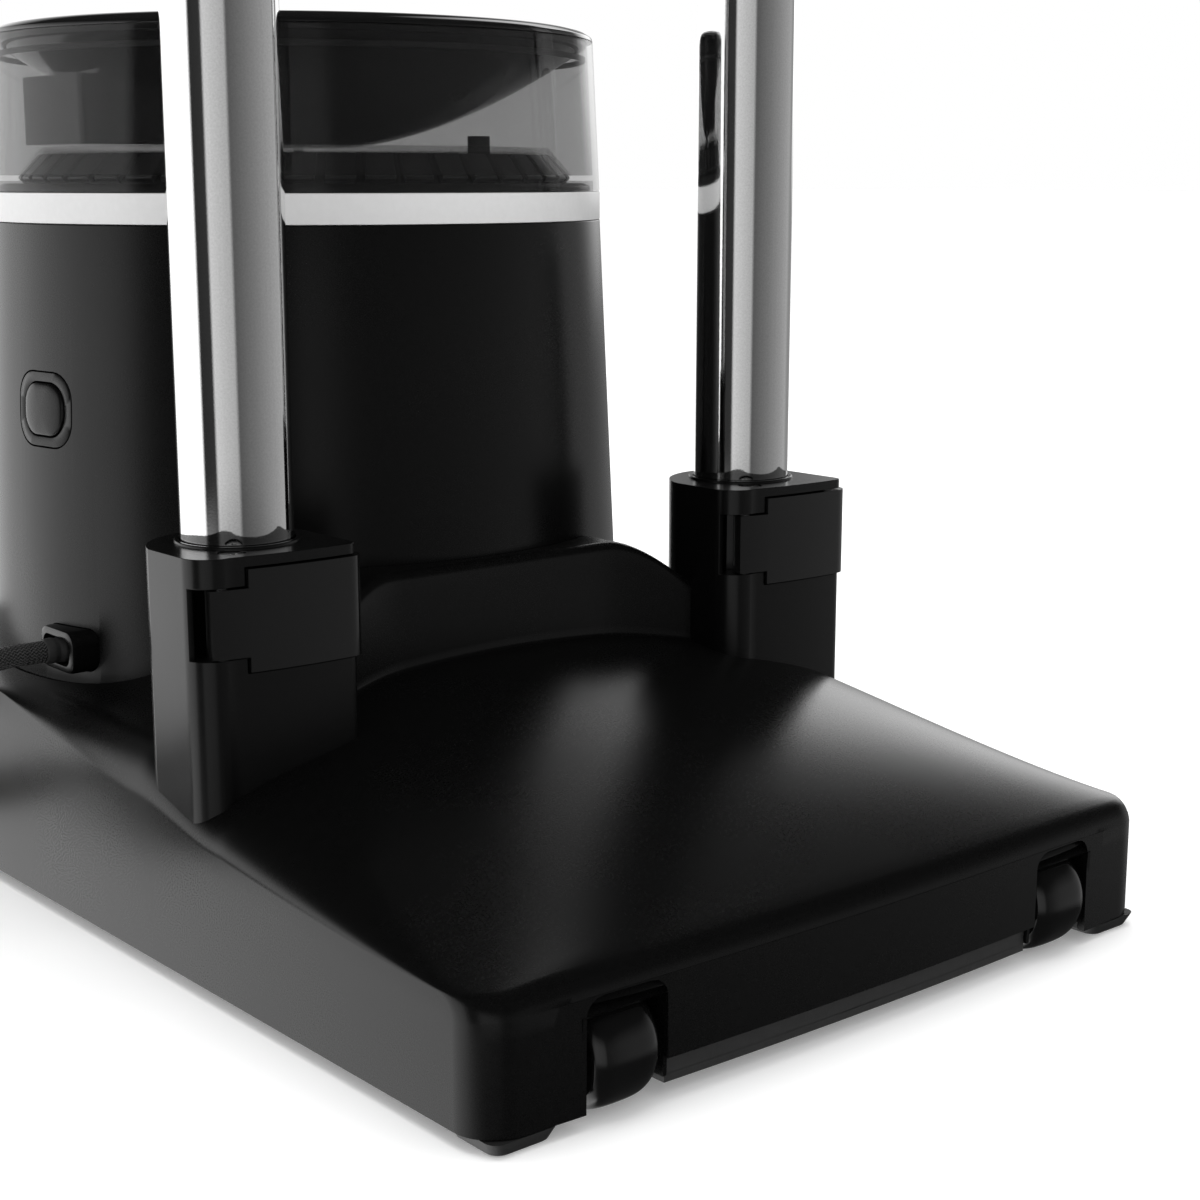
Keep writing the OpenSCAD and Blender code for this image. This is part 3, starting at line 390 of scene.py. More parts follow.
def prism(name, outline, low, high, centre=(0, 0, 0), sharp=32.0):
    base = Vector(centre)
    rings = [[base + Vector((x * mm, y * mm, z * mm)) for x, y in outline] for z in (low, high)]
    points, faces = capped(rings)
    return meshOf(name, points, faces, sharp)


def roundBox(x0, y0, x1, y1, r, steps=7):
    made = []
    for cx, cy, a0 in ((x1 - r, y1 - r, 0), (x0 + r, y1 - r, 90), (x0 + r, y0 + r, 180), (x1 - r, y0 + r, 270)):
        for k in range(steps + 1):
            a = math.radians(a0 + 90 * k / steps)
            made.append((cx + r * math.cos(a), cy + r * math.sin(a)))
    return made


def withModifiers(piece, *steps):
    for kind, settings in steps:
        added = piece.modifiers.new(kind.lower(), kind)
        for key, value in settings.items():
            setattr(added, key, value)
    return piece


def baked(piece):
    scene.collection.objects.link(piece)
    bpy.context.view_layer.update()
    data = bpy.data.meshes.new_from_object(piece.evaluated_get(bpy.context.evaluated_depsgraph_get()))
    scene.collection.objects.unlink(piece)
    made = bpy.data.objects.new(piece.name + "Done", data)
    return made


def carved(piece, cutters, joined=()):
    for other, operation in [(c, "DIFFERENCE") for c in cutters] + [(j, "UNION") for j in joined]:
        scene.collection.objects.link(other)
        other.hide_render = True
        withModifiers(piece, ("BOOLEAN", {"operation": operation, "solver": "EXACT", "object": other}))
    made = baked(piece)
    for other in list(cutters) + list(joined):
        bpy.data.objects.remove(other)
    return made


def edged(piece, width=0.5, segments=3, angle=32.0):
    withModifiers(piece, ("BEVEL", {"width": width * mm, "segments": segments, "limit_method": "ANGLE",
                                    "angle_limit": math.radians(angle), "use_clamp_overlap": True, "harden_normals": False}),
                  ("WEIGHTED_NORMAL", {"keep_sharp": False, "weight": 60}))
    made = baked(piece)
    made.data.polygons.foreach_set("use_smooth", [True] * len(made.data.polygons))
    return made


def named(piece, name):
    piece.name = name
    piece.data.name = name
    return piece


def smoothLine(points, spacing):
    pts = [Vector(p) for p in points]
    pts = [2 * pts[0] - pts[1]] + pts + [2 * pts[-1] - pts[-2]]
    dense = []
    for i in range(1, len(pts) - 2):
        a, b, c, d = pts[i - 1:i + 3]
        for k in range(24):
            t = k / 24
            dense.append(0.5 * ((2 * b) + (c - a) * t + (2 * a - 5 * b + 4 * c - d) * t * t + (3 * b - a - 3 * c + d) * t ** 3))
    dense.append(pts[-2])
    made, walked = [dense[0]], 0.0
    for p, q in zip(dense, dense[1:]):
        step = (q - p).length
        while walked + step >= spacing:
            share = (spacing - walked) / step
            p = p.lerp(q, share)
            made.append(p.copy())
            step, walked = (q - p).length, 0.0
        walked += step
    if (made[-1] - dense[-1]).length > 0.3 * spacing:
        made.append(dense[-1])
    return made


def tubeAlong(name, line, radius, sides=20, start=(0, 0, 1), threads=None):
    normal = Vector(start)
    rings, lengths, gone = [], [], 0.0
    for i, p in enumerate(line):
        ahead = (line[min(i + 1, len(line) - 1)] - line[max(i - 1, 0)]).normalized()
        normal = (normal - ahead * normal.dot(ahead)).normalized()
        other = ahead.cross(normal)
        gone += (p - line[i - 1]).length if i else 0.0
        lengths.append(gone)
        here = radius(gone) if callable(radius) else radius
        turns = [math.tau * k / sides for k in range(sides)]
        rings.append([p + normal * (here * math.cos(a)) + other * (here * math.sin(a)) for a in turns])
    points, faces = capped(rings)
    data = bpy.data.meshes.new(name)
    data.from_pydata([tuple(p) for p in points], [], faces)
    if threads:
        layer = data.uv_layers.new(name="lay")
        for face in data.polygons:
            for corner in face.loop_indices:
                i, k = divmod(data.loops[corner].vertex_index, sides)
                if len(face.vertices) == 4 and k == 0 and any(v % sides == sides - 1 for v in face.vertices):
                    k = sides
                layer.data[corner].uv = (lengths[i] / threads["pitch"], threads["count"] * k / sides)
    data.polygons.foreach_set("use_smooth", [True] * len(data.polygons))
    data.set_sharp_from_angle(angle=math.radians(50))
    return bpy.data.objects.new(name, data)


# power cord: out of the gland, over the edge, down to the floor and into its coil
cordFacts = {"diameter": 0.008, "route": [(-134, 55, 91), (-140, 55, 91), (-146, 55.2, 91), (-156, 55.6, 89.5), (-165, 56, 86),
             (-173, 56.3, 80), (-179, 56.5, 72), (-183, 56.7, 63), (-184, 56.8, 53), (-184, 56.9, 42), (-185.5, 57, 32), (-189, 57, 23),
             (-195, 57, 15), (-203, 57, 9), (-212, 57, 5.5), (-222, 57, 4.2), (-236, 57, 4.2), (-252, 57, 4.4)],
             "coilAt": (-266, 114), "outer": 57, "inner": 35, "turns": 2.75}
cordLine = [Vector(p) for p in cordFacts["route"]]
coilX, coilY = cordFacts["coilAt"]
coilSteps = 110


def coilPoint(reach, angle, rise):
    height = 4.6 + 8 * rise * rise * (3 - 2 * rise)
    return Vector((coilX + reach * math.cos(angle), coilY + reach * math.sin(angle), height))


for k in range(coilSteps + 1):
    turn = cordFacts["turns"] * k / coilSteps
    angle = math.radians(-90 - 360 * turn)
    reach = cordFacts["outer"] - 8 * turn
    rise = max(0.0, (turn - cordFacts["turns"]) * 360 + 60) / 160
    cordLine.append(coilPoint(reach, angle, rise))
for k in range(1, coilSteps + 1):
    turn = cordFacts["turns"] * k / coilSteps
    angle = math.radians(-360 * turn)
    reach = cordFacts["inner"] + 8 * turn
    rise = min(1.0, (turn * 360 + 60) / 160)
    cordLine.append(coilPoint(reach, angle, rise))
cordLine += [Vector((x, 171, z)) for x, z in ((-258, 12.0), (-249, 10.4), (-241, 8.8), (-233, 8), (-226, 8))]
cordLine = smoothLine([p * mm for p in cordLine], 0.0014)
cord = tubeAlong("powerCord", cordLine, cordFacts["diameter"] / 2, 20, (0, 0, 1), {"pitch": 0.0034, "count": 10})
dressed(cord, "cordSleeve", "base", ("power_cord", "cord_coil"))
cordLength = sum((b - a).length for a, b in zip(cordLine, cordLine[1:]))
print("cord length", round(cordLength, 3))

# plug with a ribbed boot and two pins, pointing along X
plugAt = Vector((-233, 171, 8)) * mm
bootRibs = [(4.75 + 1.7 * t / 22 + (0.0 if k % 2 else -0.55), t) for k, t in enumerate(range(2, 22, 2))]
bootProfile = [(0, 0), (4.75, 0)] + bootRibs + [(6.5, 23), (0, 23)]
plugBoot = dressed(turned("plugBoot", bootProfile, plugAt, (1, 0, 0), 48, 0.25), "rubber", "base")
bodyRings = []
for d, grow in ((21.5, 0.72), (23, 0.86), (26, 0.95), (31, 1.0), (44, 1.0), (50, 0.985), (54.5, 0.96), (55.6, 0.93), (56, 0.88)):
    outline = roundBox(-13 * grow, -7.5 * grow, 13 * grow, 7.5 * grow, 6 * grow)
    bodyRings.append([plugAt + Vector((d * mm, y * mm, z * mm)) for y, z in outline])
plugBody = dressed(meshOf("plugBody", *capped(bodyRings)), "blackShell", "base", ("plug_body",))
for s in (-1, 1):
    pinProfile = [(0, 0), (1.95, 0), (1.95, 9.5), (2.0, 9.6), (2.0, 17.8), (1.2, 19), (0, 19)]
    root = plugAt + Vector((56 * mm, s * 9.5 * mm, 0))
    pin = turned("plugPinLeft" if s < 0 else "plugPinRight", pinProfile, root, (1, 0, 0), 32, 0.2)
    dressed(pin, "brass", "base", ("plug_pins",) if s < 0 else ())
# woven tie round the coil
tieLow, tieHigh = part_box("cord_tie")
tieLoop = roundBox(tieLow.x / mm + 0.3, tieLow.z / mm + 0.2, tieHigh.x / mm - 0.3, tieHigh.z / mm - 0.2, 4.2, 8)
tieMid = ((tieLow.x + tieHigh.x) / 2 / mm, (tieLow.z + tieHigh.z) / 2 / mm)
tieRings = []
for x, z in tieLoop:
    inward = Vector((tieMid[0] - x, tieMid[1] - z)).normalized() * 0.55
    edge = [(0.0, -6), (-0.08, -3), (0.0, 0), (-0.08, 3), (0.0, 6), (1.0, 6), (1.0, -6)]
    tieRings.append([Vector((x + inward.x * depth, middle("cord_tie").y / mm + side, z + inward.y * depth)) * mm
                     for depth, side in edge])
tie = dressed(meshOf("cordTie", *ringed(tieRings, True, True)), "rubber", "base", ("cord_tie",))
print("cord laid")

# base shell
shell = {"halfWidth": 146.0, "toe": 44.0, "crown": 90.0, "plinth": 124.0, "plinthSide": 77.0, "roll": 7.0, "step": -46.0,
         "front": -229.0, "rear": 230.0, "corner": 13.0, "bow": 5.0, "floor": 5.0, "notch": 14.0, "thickness": 2.6}
bowRadius = (shell["halfWidth"] ** 2 + shell["bow"] ** 2) / (2 * shell["bow"])


def ease(t):
    t = min(1.0, max(0.0, t))
    return t * t * (3 - 2 * t)


def endInset(x):
    bow = bowRadius - math.sqrt(bowRadius ** 2 - x * x)
    past = max(0.0, abs(x) - (shell["halfWidth"] - shell["corner"]))
    return bow + shell["corner"] - math.sqrt(max(0.0, shell["corner"] ** 2 - past * past))


def sideTop(y):
    s = min(1.0, max(0.0, (y + 51 + 161) / 279))
    return 43.8 + 32.2 * s ** 1.75


def deckAt(y):
    t = min(1.0, max(0.0, (y - shell["front"]) / (shell["step"] - shell["front"])))
    return shell["toe"] + (shell["crown"] - shell["toe"]) * (1 - (1 - t) ** 1.5)


def deckZ(x, y):
    share = min(1.0, abs(x) / shell["halfWidth"])
    return sideTop(y) + (deckAt(y) - sideTop(y)) * math.sqrt(max(0.0, 1 - share ** 1.9))


def plinthZ(x, y):
    saddle = shell["plinth"] + (shell["plinthSide"] - shell["plinth"]) * ease((abs(x) - 50) / 80)
    along = shell["plinth"] + (shell["plinthSide"] - shell["plinth"]) * ease((y - shell["step"] - 40) / 90)
    level = min(saddle, along)
    past = min(1.0, max(0.0, (abs(x) - 130) / 16))
    return sideTop(y) + (level - sideTop(y)) * math.sqrt(max(0.0, 1 - past * past))


def stepLine(x):
    return shell["step"] - 15 * ease((abs(x) - 45) / 60) if abs(x) < 105 else shell["step"] - 15


def lowerEdge(x):
    a = abs(x)
    if a > 111.5:
        return shell["floor"]
    if a > 82.5:
        inside = min(a - 82.5, 111.5 - a)
        return 39.0 - (6.0 - math.sqrt(max(0.0, 36.0 - (6.0 - inside) ** 2)) if inside < 6.0 else 0.0)
    return shell["notch"]


def shellColumn(x):
    front, rear, roll = shell["front"] + endInset(x), shell["rear"] - endInset(x), shell["roll"]
    line = stepLine(x)
    blend = ease((abs(x) - 128) / 12)
    top = deckZ(x, front + roll)
    column = []
    bottom = lowerEdge(x)
    for k in range(7):
        column.append((front, bottom + (top - roll - bottom) * k / 6))
    for k in range(1, 8):
        a = math.pi / 2 * k / 7
        y = front + roll * (1 - math.cos(a))
        column.append((y, deckZ(x, y) - roll * (1 - math.sin(a))))
    start, end = line - 2.0 - 26 * blend, line + 4.0 + 26 * blend
    for k in range(1, 35):
        y = front + roll + (start - front - roll) * k / 34
        column.append((y, deckZ(x, y)))
    low, high = deckZ(x, start), plinthZ(x, end)
    for k in range(1, 18):
        t = k / 18
        if t < 0.25:
            a = t / 0.25 * math.pi / 2
            y, z = line - 2.0 * (1 - math.sin(a)), low + 2.0 * (1 - math.cos(a))
        elif t < 0.6:
            share = (t - 0.25) / 0.35
            y, z = line, low + 2.0 + (high - 4.0 - low - 2.0) * share
        else:
            a = (t - 0.6) / 0.4 * math.pi / 2
            y, z = line + 4.0 * (1 - math.cos(a)), high - 4.0 * (1 - math.sin(a))
        gentleY, gentleZ = start + (end - start) * t, low + (high - low) * ease(t)
        column.append((y + (gentleY - y) * blend, z + (gentleZ - z) * blend))
    rearRoll = 9.0
    for k in range(0, 41):
        y = end + (rear - rearRoll - end) * k / 40
        column.append((y, plinthZ(x, y)))
    for k in range(1, 9):
        a = math.pi / 2 * k / 8
        y = rear - rearRoll * (1 - math.sin(a))
        column.append((y, plinthZ(x, y) - rearRoll * (1 - math.cos(a))))
    wallTop = column[-1][1]
    for k in range(1, 6):
        column.append((rear, wallTop + (shell["floor"] - wallTop) * k / 5))
    return column


columnSpots = [shell["halfWidth"] * math.sin(math.pi / 2 * k / 60) for k in range(-60, 61)]
pocketSpots = [82.4, 82.6, 83.0, 83.6, 84.6, 86.2, 88.5, 92, 97, 102, 105.5, 107.8, 109.4, 110.4, 111.0, 111.4, 111.6]
columnSpots = [x for x in columnSpots if not 81.2 < abs(x) < 112.8] + pocketSpots + [-x for x in pocketSpots]
columnSpots.sort()
shellColumns = [[Vector((x * mm, y * mm, z * mm)) for y, z in shellColumn(x)] for x in columnSpots]
skinPoints, skinFaces = ringed(shellColumns, False, False)
rows = len(shellColumns[0])
for side, column in ((0, shellColumns[0]), (1, shellColumns[-1])):
    offset = 0 if side == 0 else (len(shellColumns) - 1) * rows
    inner = list(range(6, rows - 5))
    levels = 6
    first = len(skinPoints)
    for level in range(1, levels):
        for i in inner:
            p = column[i]
            low = shell["floor"] * mm
            share = level / levels
            skinPoints.append(Vector((p.x, p.y, p.z + (low - p.z) * share)))
    for i in inner:
        skinPoints.append(Vector((column[i].x, column[i].y, shell["floor"] * mm)))
    width = len(inner)
    for level in range(levels):
        for k in range(width - 1):
            above = first + (level - 1) * width + k
            up = [above, above + 1] if level else [offset + inner[k], offset + inner[k + 1]]
            down = [first + level * width + k, first + level * width + k + 1]
            skinFaces.append((up[0], up[1], down[1], down[0]))
skin = meshOf("shellSkin", skinPoints, skinFaces)
withModifiers(skin, ("SOLIDIFY", {"thickness": shell["thickness"] * mm, "offset": -1.0, "use_even_offset": False}))
wellCutter = turned("wellCutter", [(0, 60), (128.6, 60), (125.2, 140), (0, 140)], (drumAt.x, drumAt.y, 0),
                    segments=180, soft=0)


def socketOutline(grow=0.0):
    made = []
    frontArc, backCentre, backRadius = 200.0 + grow, (-2.0, -5.0), 30.0 + grow
    left, right = -31.0 - grow, 27.0 + grow

    def frontY(x):
        return 169.5 - math.sqrt(frontArc ** 2 - (x - 12) ** 2)

    for k in range(24):
        a = math.radians(180 + 90 * k / 23)
        made.append((-21 + (10 + grow) * math.cos(a), -18.3 + (10 + grow) * math.sin(a)))
    for k in range(1, 24):
        x = -21 + (right - 4 + 21) * k / 24
        made.append((x, frontY(x)))
    for k in range(9):
        a = math.radians(-90 + 90 * k / 8)
        made.append((right - 4 + 4 * math.cos(a), frontY(right - 4) + 4 + 4 * math.sin(a)))
    startAngle = math.degrees(math.acos(min(1.0, (right - backCentre[0]) / backRadius)))
    endAngle = math.degrees(math.acos(max(-1.0, (left - backCentre[0]) / backRadius)))
    for k in range(41):
        a = math.radians(startAngle + (endAngle - startAngle) * k / 40)
        made.append((backCentre[0] + backRadius * math.cos(a), backCentre[1] + backRadius * math.sin(a)))
    return made


shellDone = named(carved(skin, [wellCutter]), "baseShell")
shellDone.data.polygons.foreach_set("use_smooth", [True] * len(shellDone.data.polygons))
shellDone.data.set_sharp_from_angle(angle=math.radians(40))
dressed(shellDone, "blackShell", "base", ("base_shell",))
print("base shell made", len(shellDone.data.polygons))

# tray under the shell: plate, front lip, and the ears that carry the axles
def underPart(name, boxes):
    points, faces = [], []
    for outline, low, high in boxes:
        start = len(points)
        more, moreFaces = capped([[Vector((x, y, z)) * mm for x, y in outline] for z in (low, high)])
        points += more
        faces += [tuple(start + i for i in face) for face in moreFaces]
    return meshOf(name, points, faces)


lipLine = [(x, shell["front"] + endInset(x) + 3.4) for x in range(-81, 82, 18)]
trayEdge = []
for x in (-142, -140, -136, -130, -124, -118, -112.4):
    trayEdge.append((x, shell["front"] + endInset(x) + 3.4))
trayEdge += [(-112.4, -188), (-81.6, -188)] + lipLine + [(81.6, -188), (112.4, -188)]
trayEdge += [(-x, y) for x, y in reversed(trayEdge[:7])]
trayRear = (142, 140, 136, 130, 118, 90, 60, 30, 0, -30, -60, -90, -118, -130, -136, -140, -142)
trayEdge += [(x, shell["rear"] - endInset(x) - 3.4) for x in trayRear]
trayParts = [(trayEdge, 5.0, 7.6)]
trayParts.append((lipLine + [(x, y + 2.4) for x, y in reversed(lipLine)], 7.4, 13.4))
for side in (-1, 1):
    for centre in (97 - 17.6, 97 + 17.6):
        trayParts.append((roundBox(side * centre - 1.2, -220, side * centre + 1.2, -204, 0.5, 2), 7.4, 24.5))
tray = underPart("bottomPan", trayParts)
dressed(tray, "darkPan", "base", ("bottom_pan",))
feet = []
for x in (-131, 131):
    for y in (-213, 212):
        foot = []
        for z, half in ((0, 9.5), (0.5, 10.2), (4.6, 12.0)):
            foot.append([Vector((x + u, y + v, z)) * mm for u, v in roundBox(-half, -half, half, half, 4)])
        feet.append(dressed(meshOf("foot%d" % len(feet), *capped(foot)), "rubber", "base",
                            ("rubber_feet",) if not feet else ()))
print("tray and feet made")

# wheels, with a lined pocket round each
wheelFacts = {"half": 12.0, "pocket": 14.5, "arch": 19.6}
for side, tag in ((-1, "Left"), (1, "Right")):
    low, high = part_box("wheel_" + tag.lower())
    hub = (low + high) / 2
    wheelRadius = (high.z - low.z) / 2 / mm
    w = wheelFacts["half"]
    profile = [(3.1, -w + 2.2), (6.2, -w + 2.2), (7.4, -w + 0.2), (wheelRadius - 4.2, -w)]
    profile += [(wheelRadius - 3.1 * abs(k / 12) ** 5 - 0.5 * (k / 12) ** 2, w * k / 12 * 0.985) for k in range(-12, 13)]
    profile += [(wheelRadius - 4.2, w), (7.4, w - 0.2), (6.2, w - 2.2), (3.1, w - 2.2)]
    dressed(turned("wheel" + tag, profile, hub, (1, 0, 0), 96, 0.3, 40), "blackGloss", tag.lower() + "_wheel",
            ("wheel_" + tag.lower(),))
    arch = []
    for k in range(0, 27):
        a = math.radians(-4 + 136 * k / 26)
        ring = []
        for x, r in ((-wheelFacts["pocket"], wheelFacts["arch"]), (wheelFacts["pocket"], wheelFacts["arch"]),
                     (wheelFacts["pocket"], wheelFacts["arch"] + 1.4), (-wheelFacts["pocket"], wheelFacts["arch"] + 1.4)):
            ring.append(hub + Vector((x, r * math.cos(a), r * math.sin(a))) * mm)
        arch.append(ring)
    dressed(meshOf("pocketArch" + tag, *capped(arch)), "blackShell", "base")
    for edge, label in ((-1, "Inner"), (1, "Outer")):
        curve = [(21.0 * math.cos(math.radians(a)), 21.0 * math.sin(math.radians(a))) for a in range(0, 134, 7)]
        outline = [(20.9, -10.5)] + curve + [(-13.2, -10.5)]
        wall = [[hub + Vector((edge * (wheelFacts["pocket"] + d), y, z)) * mm for y, z in outline] for d in (0.0, 1.4)]
        dressed(meshOf("pocketWall" + label + tag, *capped(wall)), "blackShell", "base")
print("wheels made")


# pole sockets and their levers
def frontArc(x, proud=0.0):
    return 169.5 - proud - math.sqrt(200.0 ** 2 - (x - 12) ** 2)


leverFacts = {"bottom": 107.0, "top": 140.0, "tongueLow": 112.0, "tongueHigh": 134.0, "plate": -14.0, "tail": -26.0, "pin": (-20.0, -23.5),
              "inner": -24.5, "right": 29.5, "grip": 23.5, "gripEnd": -9.5, "proud": 1.2}


def leverOutline():
    made = [(leverFacts["plate"], frontArc(leverFacts["plate"], leverFacts["proud"]))]
    last = 23.0
    for k in range(1, 21):
        x = leverFacts["plate"] + (last - leverFacts["plate"]) * k / 20
        made.append((x, frontArc(x, leverFacts["proud"])))
    cornerY = frontArc(last, leverFacts["proud"])
    for k in range(1, 10):
        a = math.radians(-90 + 90 * k / 9)
        made.append((last + 6.5 * math.cos(a), cornerY + 6.5 + 6.5 * math.sin(a)))
    return made + [(leverFacts["right"], leverFacts["gripEnd"]), (leverFacts["grip"], leverFacts["gripEnd"]),
                   (leverFacts["grip"], leverFacts["inner"]), (leverFacts["plate"], leverFacts["inner"])]


pinX, pinY = leverFacts["pin"]
tailRoom = [(-40, -45), (-13, -45), (-13, -24), (-15.8, -24), (-15.8, -19.3)]
tailRoom += [(pinX + 9.1 * math.cos(math.radians(a)), pinY + 9.1 * math.sin(math.radians(a)))
             for a in range(96, 164, 6)]
tailRoom.append((-40, -21))
for tag, pole in (("Left", leftPole), ("Right", rightPole)):
    at = (pole.x, pole.y, 0)
    lower = tag.lower()
    body = prism("socket" + tag, socketOutline(), 8, 144, at)
    cuts = [turned("bore" + tag, [(0, 58), (18.9, 58), (18.9, 150), (0, 150)], at, segments=96, soft=0),
            prism("plateRoom" + tag, [(-14.5, -45), (60, -45), (60, -9), (23, -9), (23, -24), (-14.5, -24)], 106.5, 140.5, at),
            prism("tailRoom" + tag, tailRoom, 111.5, 134.5, at),
            turned("screwRoom" + tag, [(0, 141.5), (4.6, 141.5), (4.6, 150), (0, 150)],
                   (pole.x - 14 * mm, pole.y - 20 * mm, 0), segments=40, soft=0)]
    socket = named(edged(carved(body, cuts), 0.7, 3), "poleSocket" + tag)
    dressed(socket, "blackSocket", "base", ("pole_socket_" + lower,))
    rim = turned("socketRim" + tag, [(18.9, 143.6), (18.9, 144.9), (20.3, 144.9), (20.6, 143.6)], at, segments=120, soft=0.3)
    dressed(rim, "blackSocket", "base")
    plate = prism("leverPlate" + tag, leverOutline(), leverFacts["bottom"], leverFacts["top"], at)
    tail = [(leverFacts["tail"], frontArc(leverFacts["tail"], 1.2) + 0.6), (-20, frontArc(-20, 1.2)),
            (-13, frontArc(-13, 1.2)), (-13, -24.5), (-26, -24.5)]
    tongue = prism("leverTongue" + tag, tail, leverFacts["tongueLow"], leverFacts["tongueHigh"], at)
    knuckle = turned("leverKnuckle" + tag, [(0, 112), (3.7, 112), (3.7, 134), (0, 134)],
                     (pole.x + pinX * mm, pole.y + pinY * mm, 0), segments=40, soft=0)
    lipOutline = [(-15, -27.5), (-9, -27.5), (-9, -20), (-15, -20)]
    lips = [prism("lipCut%s%d" % (tag, i), lipOutline, a, b, at) for i, (a, b) in enumerate(((100, 112), (134, 150)))]
    lever = named(edged(carved(plate, lips, (tongue, knuckle)), 0.9, 3), "lever" + tag)
    dressed(lever, "blackGloss", lower + "_lever", ("lever_" + lower,))
print("sockets and levers made")


# boiler housing with its band
def drumRadius(z):
    return 120 + (243.5 - z) * 0.0436


drumFoot = (drumAt.x, drumAt.y, 0)
housing = turned("housingBody", [(drumRadius(70.3), 70.3), (drumRadius(243.5), 243.5), (114, 243.5), (114, 239.5),
                                 (drumRadius(235) - 3, 235),
                 (drumRadius(76) - 3, 76), (112.9, 76), (112.9, 70.3)], drumFoot, segments=256, soft=0.5)
buttonFacts = {"azimuth": 187.5, "z": 177.0, "pad": (24.0, 19.0, 8.0)}
outwards = Vector((math.cos(math.radians(buttonFacts["azimuth"])), math.sin(math.radians(buttonFacts["azimuth"])), 0))
across = Vector((-outwards.y, outwards.x, 0))


def facing(outline, near, far):
    base = Vector(drumFoot) + Vector((0, 0, buttonFacts["z"] * mm))
    return [[base + outwards * d * mm + across * u * mm + Vector((0, 0, v * mm)) for u, v in outline] for d in (near, far)]


bezelRoom = meshOf("bezelRoom", *capped(facing(roundBox(-16.8, -14.0, 16.8, 14.0, 10.3), 100, 140)))
slotOutline = roundBox(-13.3, -8.1, 13.3, 8.1, 5.2)
slotRings = [[Vector((x * mm, (drumAt.y / mm - 31.6 + u) * mm, (91 + v) * mm)) for u, v in slotOutline]
             for x in (-150, -100)]
glandSlot = meshOf("glandSlot", *capped(slotRings))
housing = named(carved(housing, [bezelRoom, glandSlot]), "boilerHousing")
housing.data.polygons.foreach_set("use_smooth", [True] * len(housing.data.polygons))
housing.data.set_sharp_from_angle(angle=math.radians(35))
dressed(housing, "blackShell", "base", ("boiler_housing",))
lightBand = turned("lightBand", [(120, 243.65), (120, 254.4), (114, 254.4), (114, 243.65)], drumFoot,
                   segments=256, soft=0.35)
dressed(lightBand, "whiteBand", "base", ("light_band",))


def padOnDrum(name, width, height, corner, proud, inset, dome, finish, body, slotName, node):
    rings = []
    steps = [(0.0, dome), (0.25, dome * 0.98), (0.5, dome * 0.9), (0.75, dome * 0.65), (0.9, dome * 0.3),
             (0.965, 0.0), (0.99, -0.25), (1.0, -0.7), (1.0, inset)]
    for share, lift in steps:
        ring = []
        for u, v in roundBox(-width / 2, -height / 2, width / 2, height / 2, corner, 9):
            u, v = u * max(share, 0.02), v * max(share, 0.02)
            z = buttonFacts["z"] + v
            a = math.radians(buttonFacts["azimuth"]) + u / drumRadius(z)
            r = drumRadius(z) + proud + lift
            ring.append(Vector((drumAt.x + r * mm * math.cos(a), drumAt.y + r * mm * math.sin(a), z * mm)))
        rings.append(ring)
    piece = meshOf(name, *capped(rings), 50)
    return dressed(piece, finish, body, (node,))


padOnDrum("buttonPad", *buttonFacts["pad"], 0.35, -6.0, 1.1, "blackShell", "button", "black_shell", "power_button")
bezelRings = []
for share, lift in ((0, -6.0), (0, -0.3), (0.08, 0.0), (0.93, 0.0), (1.0, -0.35), (1.0, -6.0)):
    ring = []
    outer, innerBox = roundBox(-16.4, -13.6, 16.4, 13.6, 9.9, 9), roundBox(-12.5, -9.95, 12.5, 9.95, 8.4, 9)
    for (u1, v1), (u0, v0) in zip(outer, innerBox):
        u, v = u0 + (u1 - u0) * share, v0 + (v1 - v0) * share
        z = buttonFacts["z"] + v
        a = math.radians(buttonFacts["azimuth"]) + u / drumRadius(z)
        r = drumRadius(z) + lift
        ring.append(Vector((drumAt.x + r * mm * math.cos(a), drumAt.y + r * mm * math.sin(a), z * mm)))
    bezelRings.append(ring)
dressed(meshOf("buttonBezel", *ringed(bezelRings, True, True), 50), "blackShell", "base",
        ("button_bezel",))

# cord gland and ribbed strain relief
glandY, glandZ = drumAt.y / mm - 31.6, 91.0
glandRings = []
for x, grow in ((-110, 0.0), (-127.4, 0.0), (-128.6, -0.35), (-129, -1.1), (-129, -2.6), (-128.4, -3.0), (-124, -3.1)):
    outline = roundBox(-13 - grow, -7.8 - grow, 13 + grow, 7.8 + grow, 5 + grow * 0.4, 8)
    glandRings.append([Vector((x, glandY + u, glandZ + v)) * mm for u, v in outline])
dressed(meshOf("cordGland", *capped(glandRings), 40), "blackSocket", "base", ("cord_gland",))
reliefRibs = [(6.4 - 1.75 * t / 30 - (0.55 if k % 2 else 0.0), t) for k, t in enumerate(range(7, 29, 2))]
reliefProfile = [(0, 0), (6.5, 0), (6.5, 6)] + reliefRibs + [(4.55, 29.4), (4.3, 30), (0, 30)]
relief = turned("strainRelief", reliefProfile, (-104 * mm, glandY * mm, glandZ * mm), (-1, 0, 0), 48, 0.25)
dressed(relief, "rubber", "base", ("strain_relief",))
print("housing made")

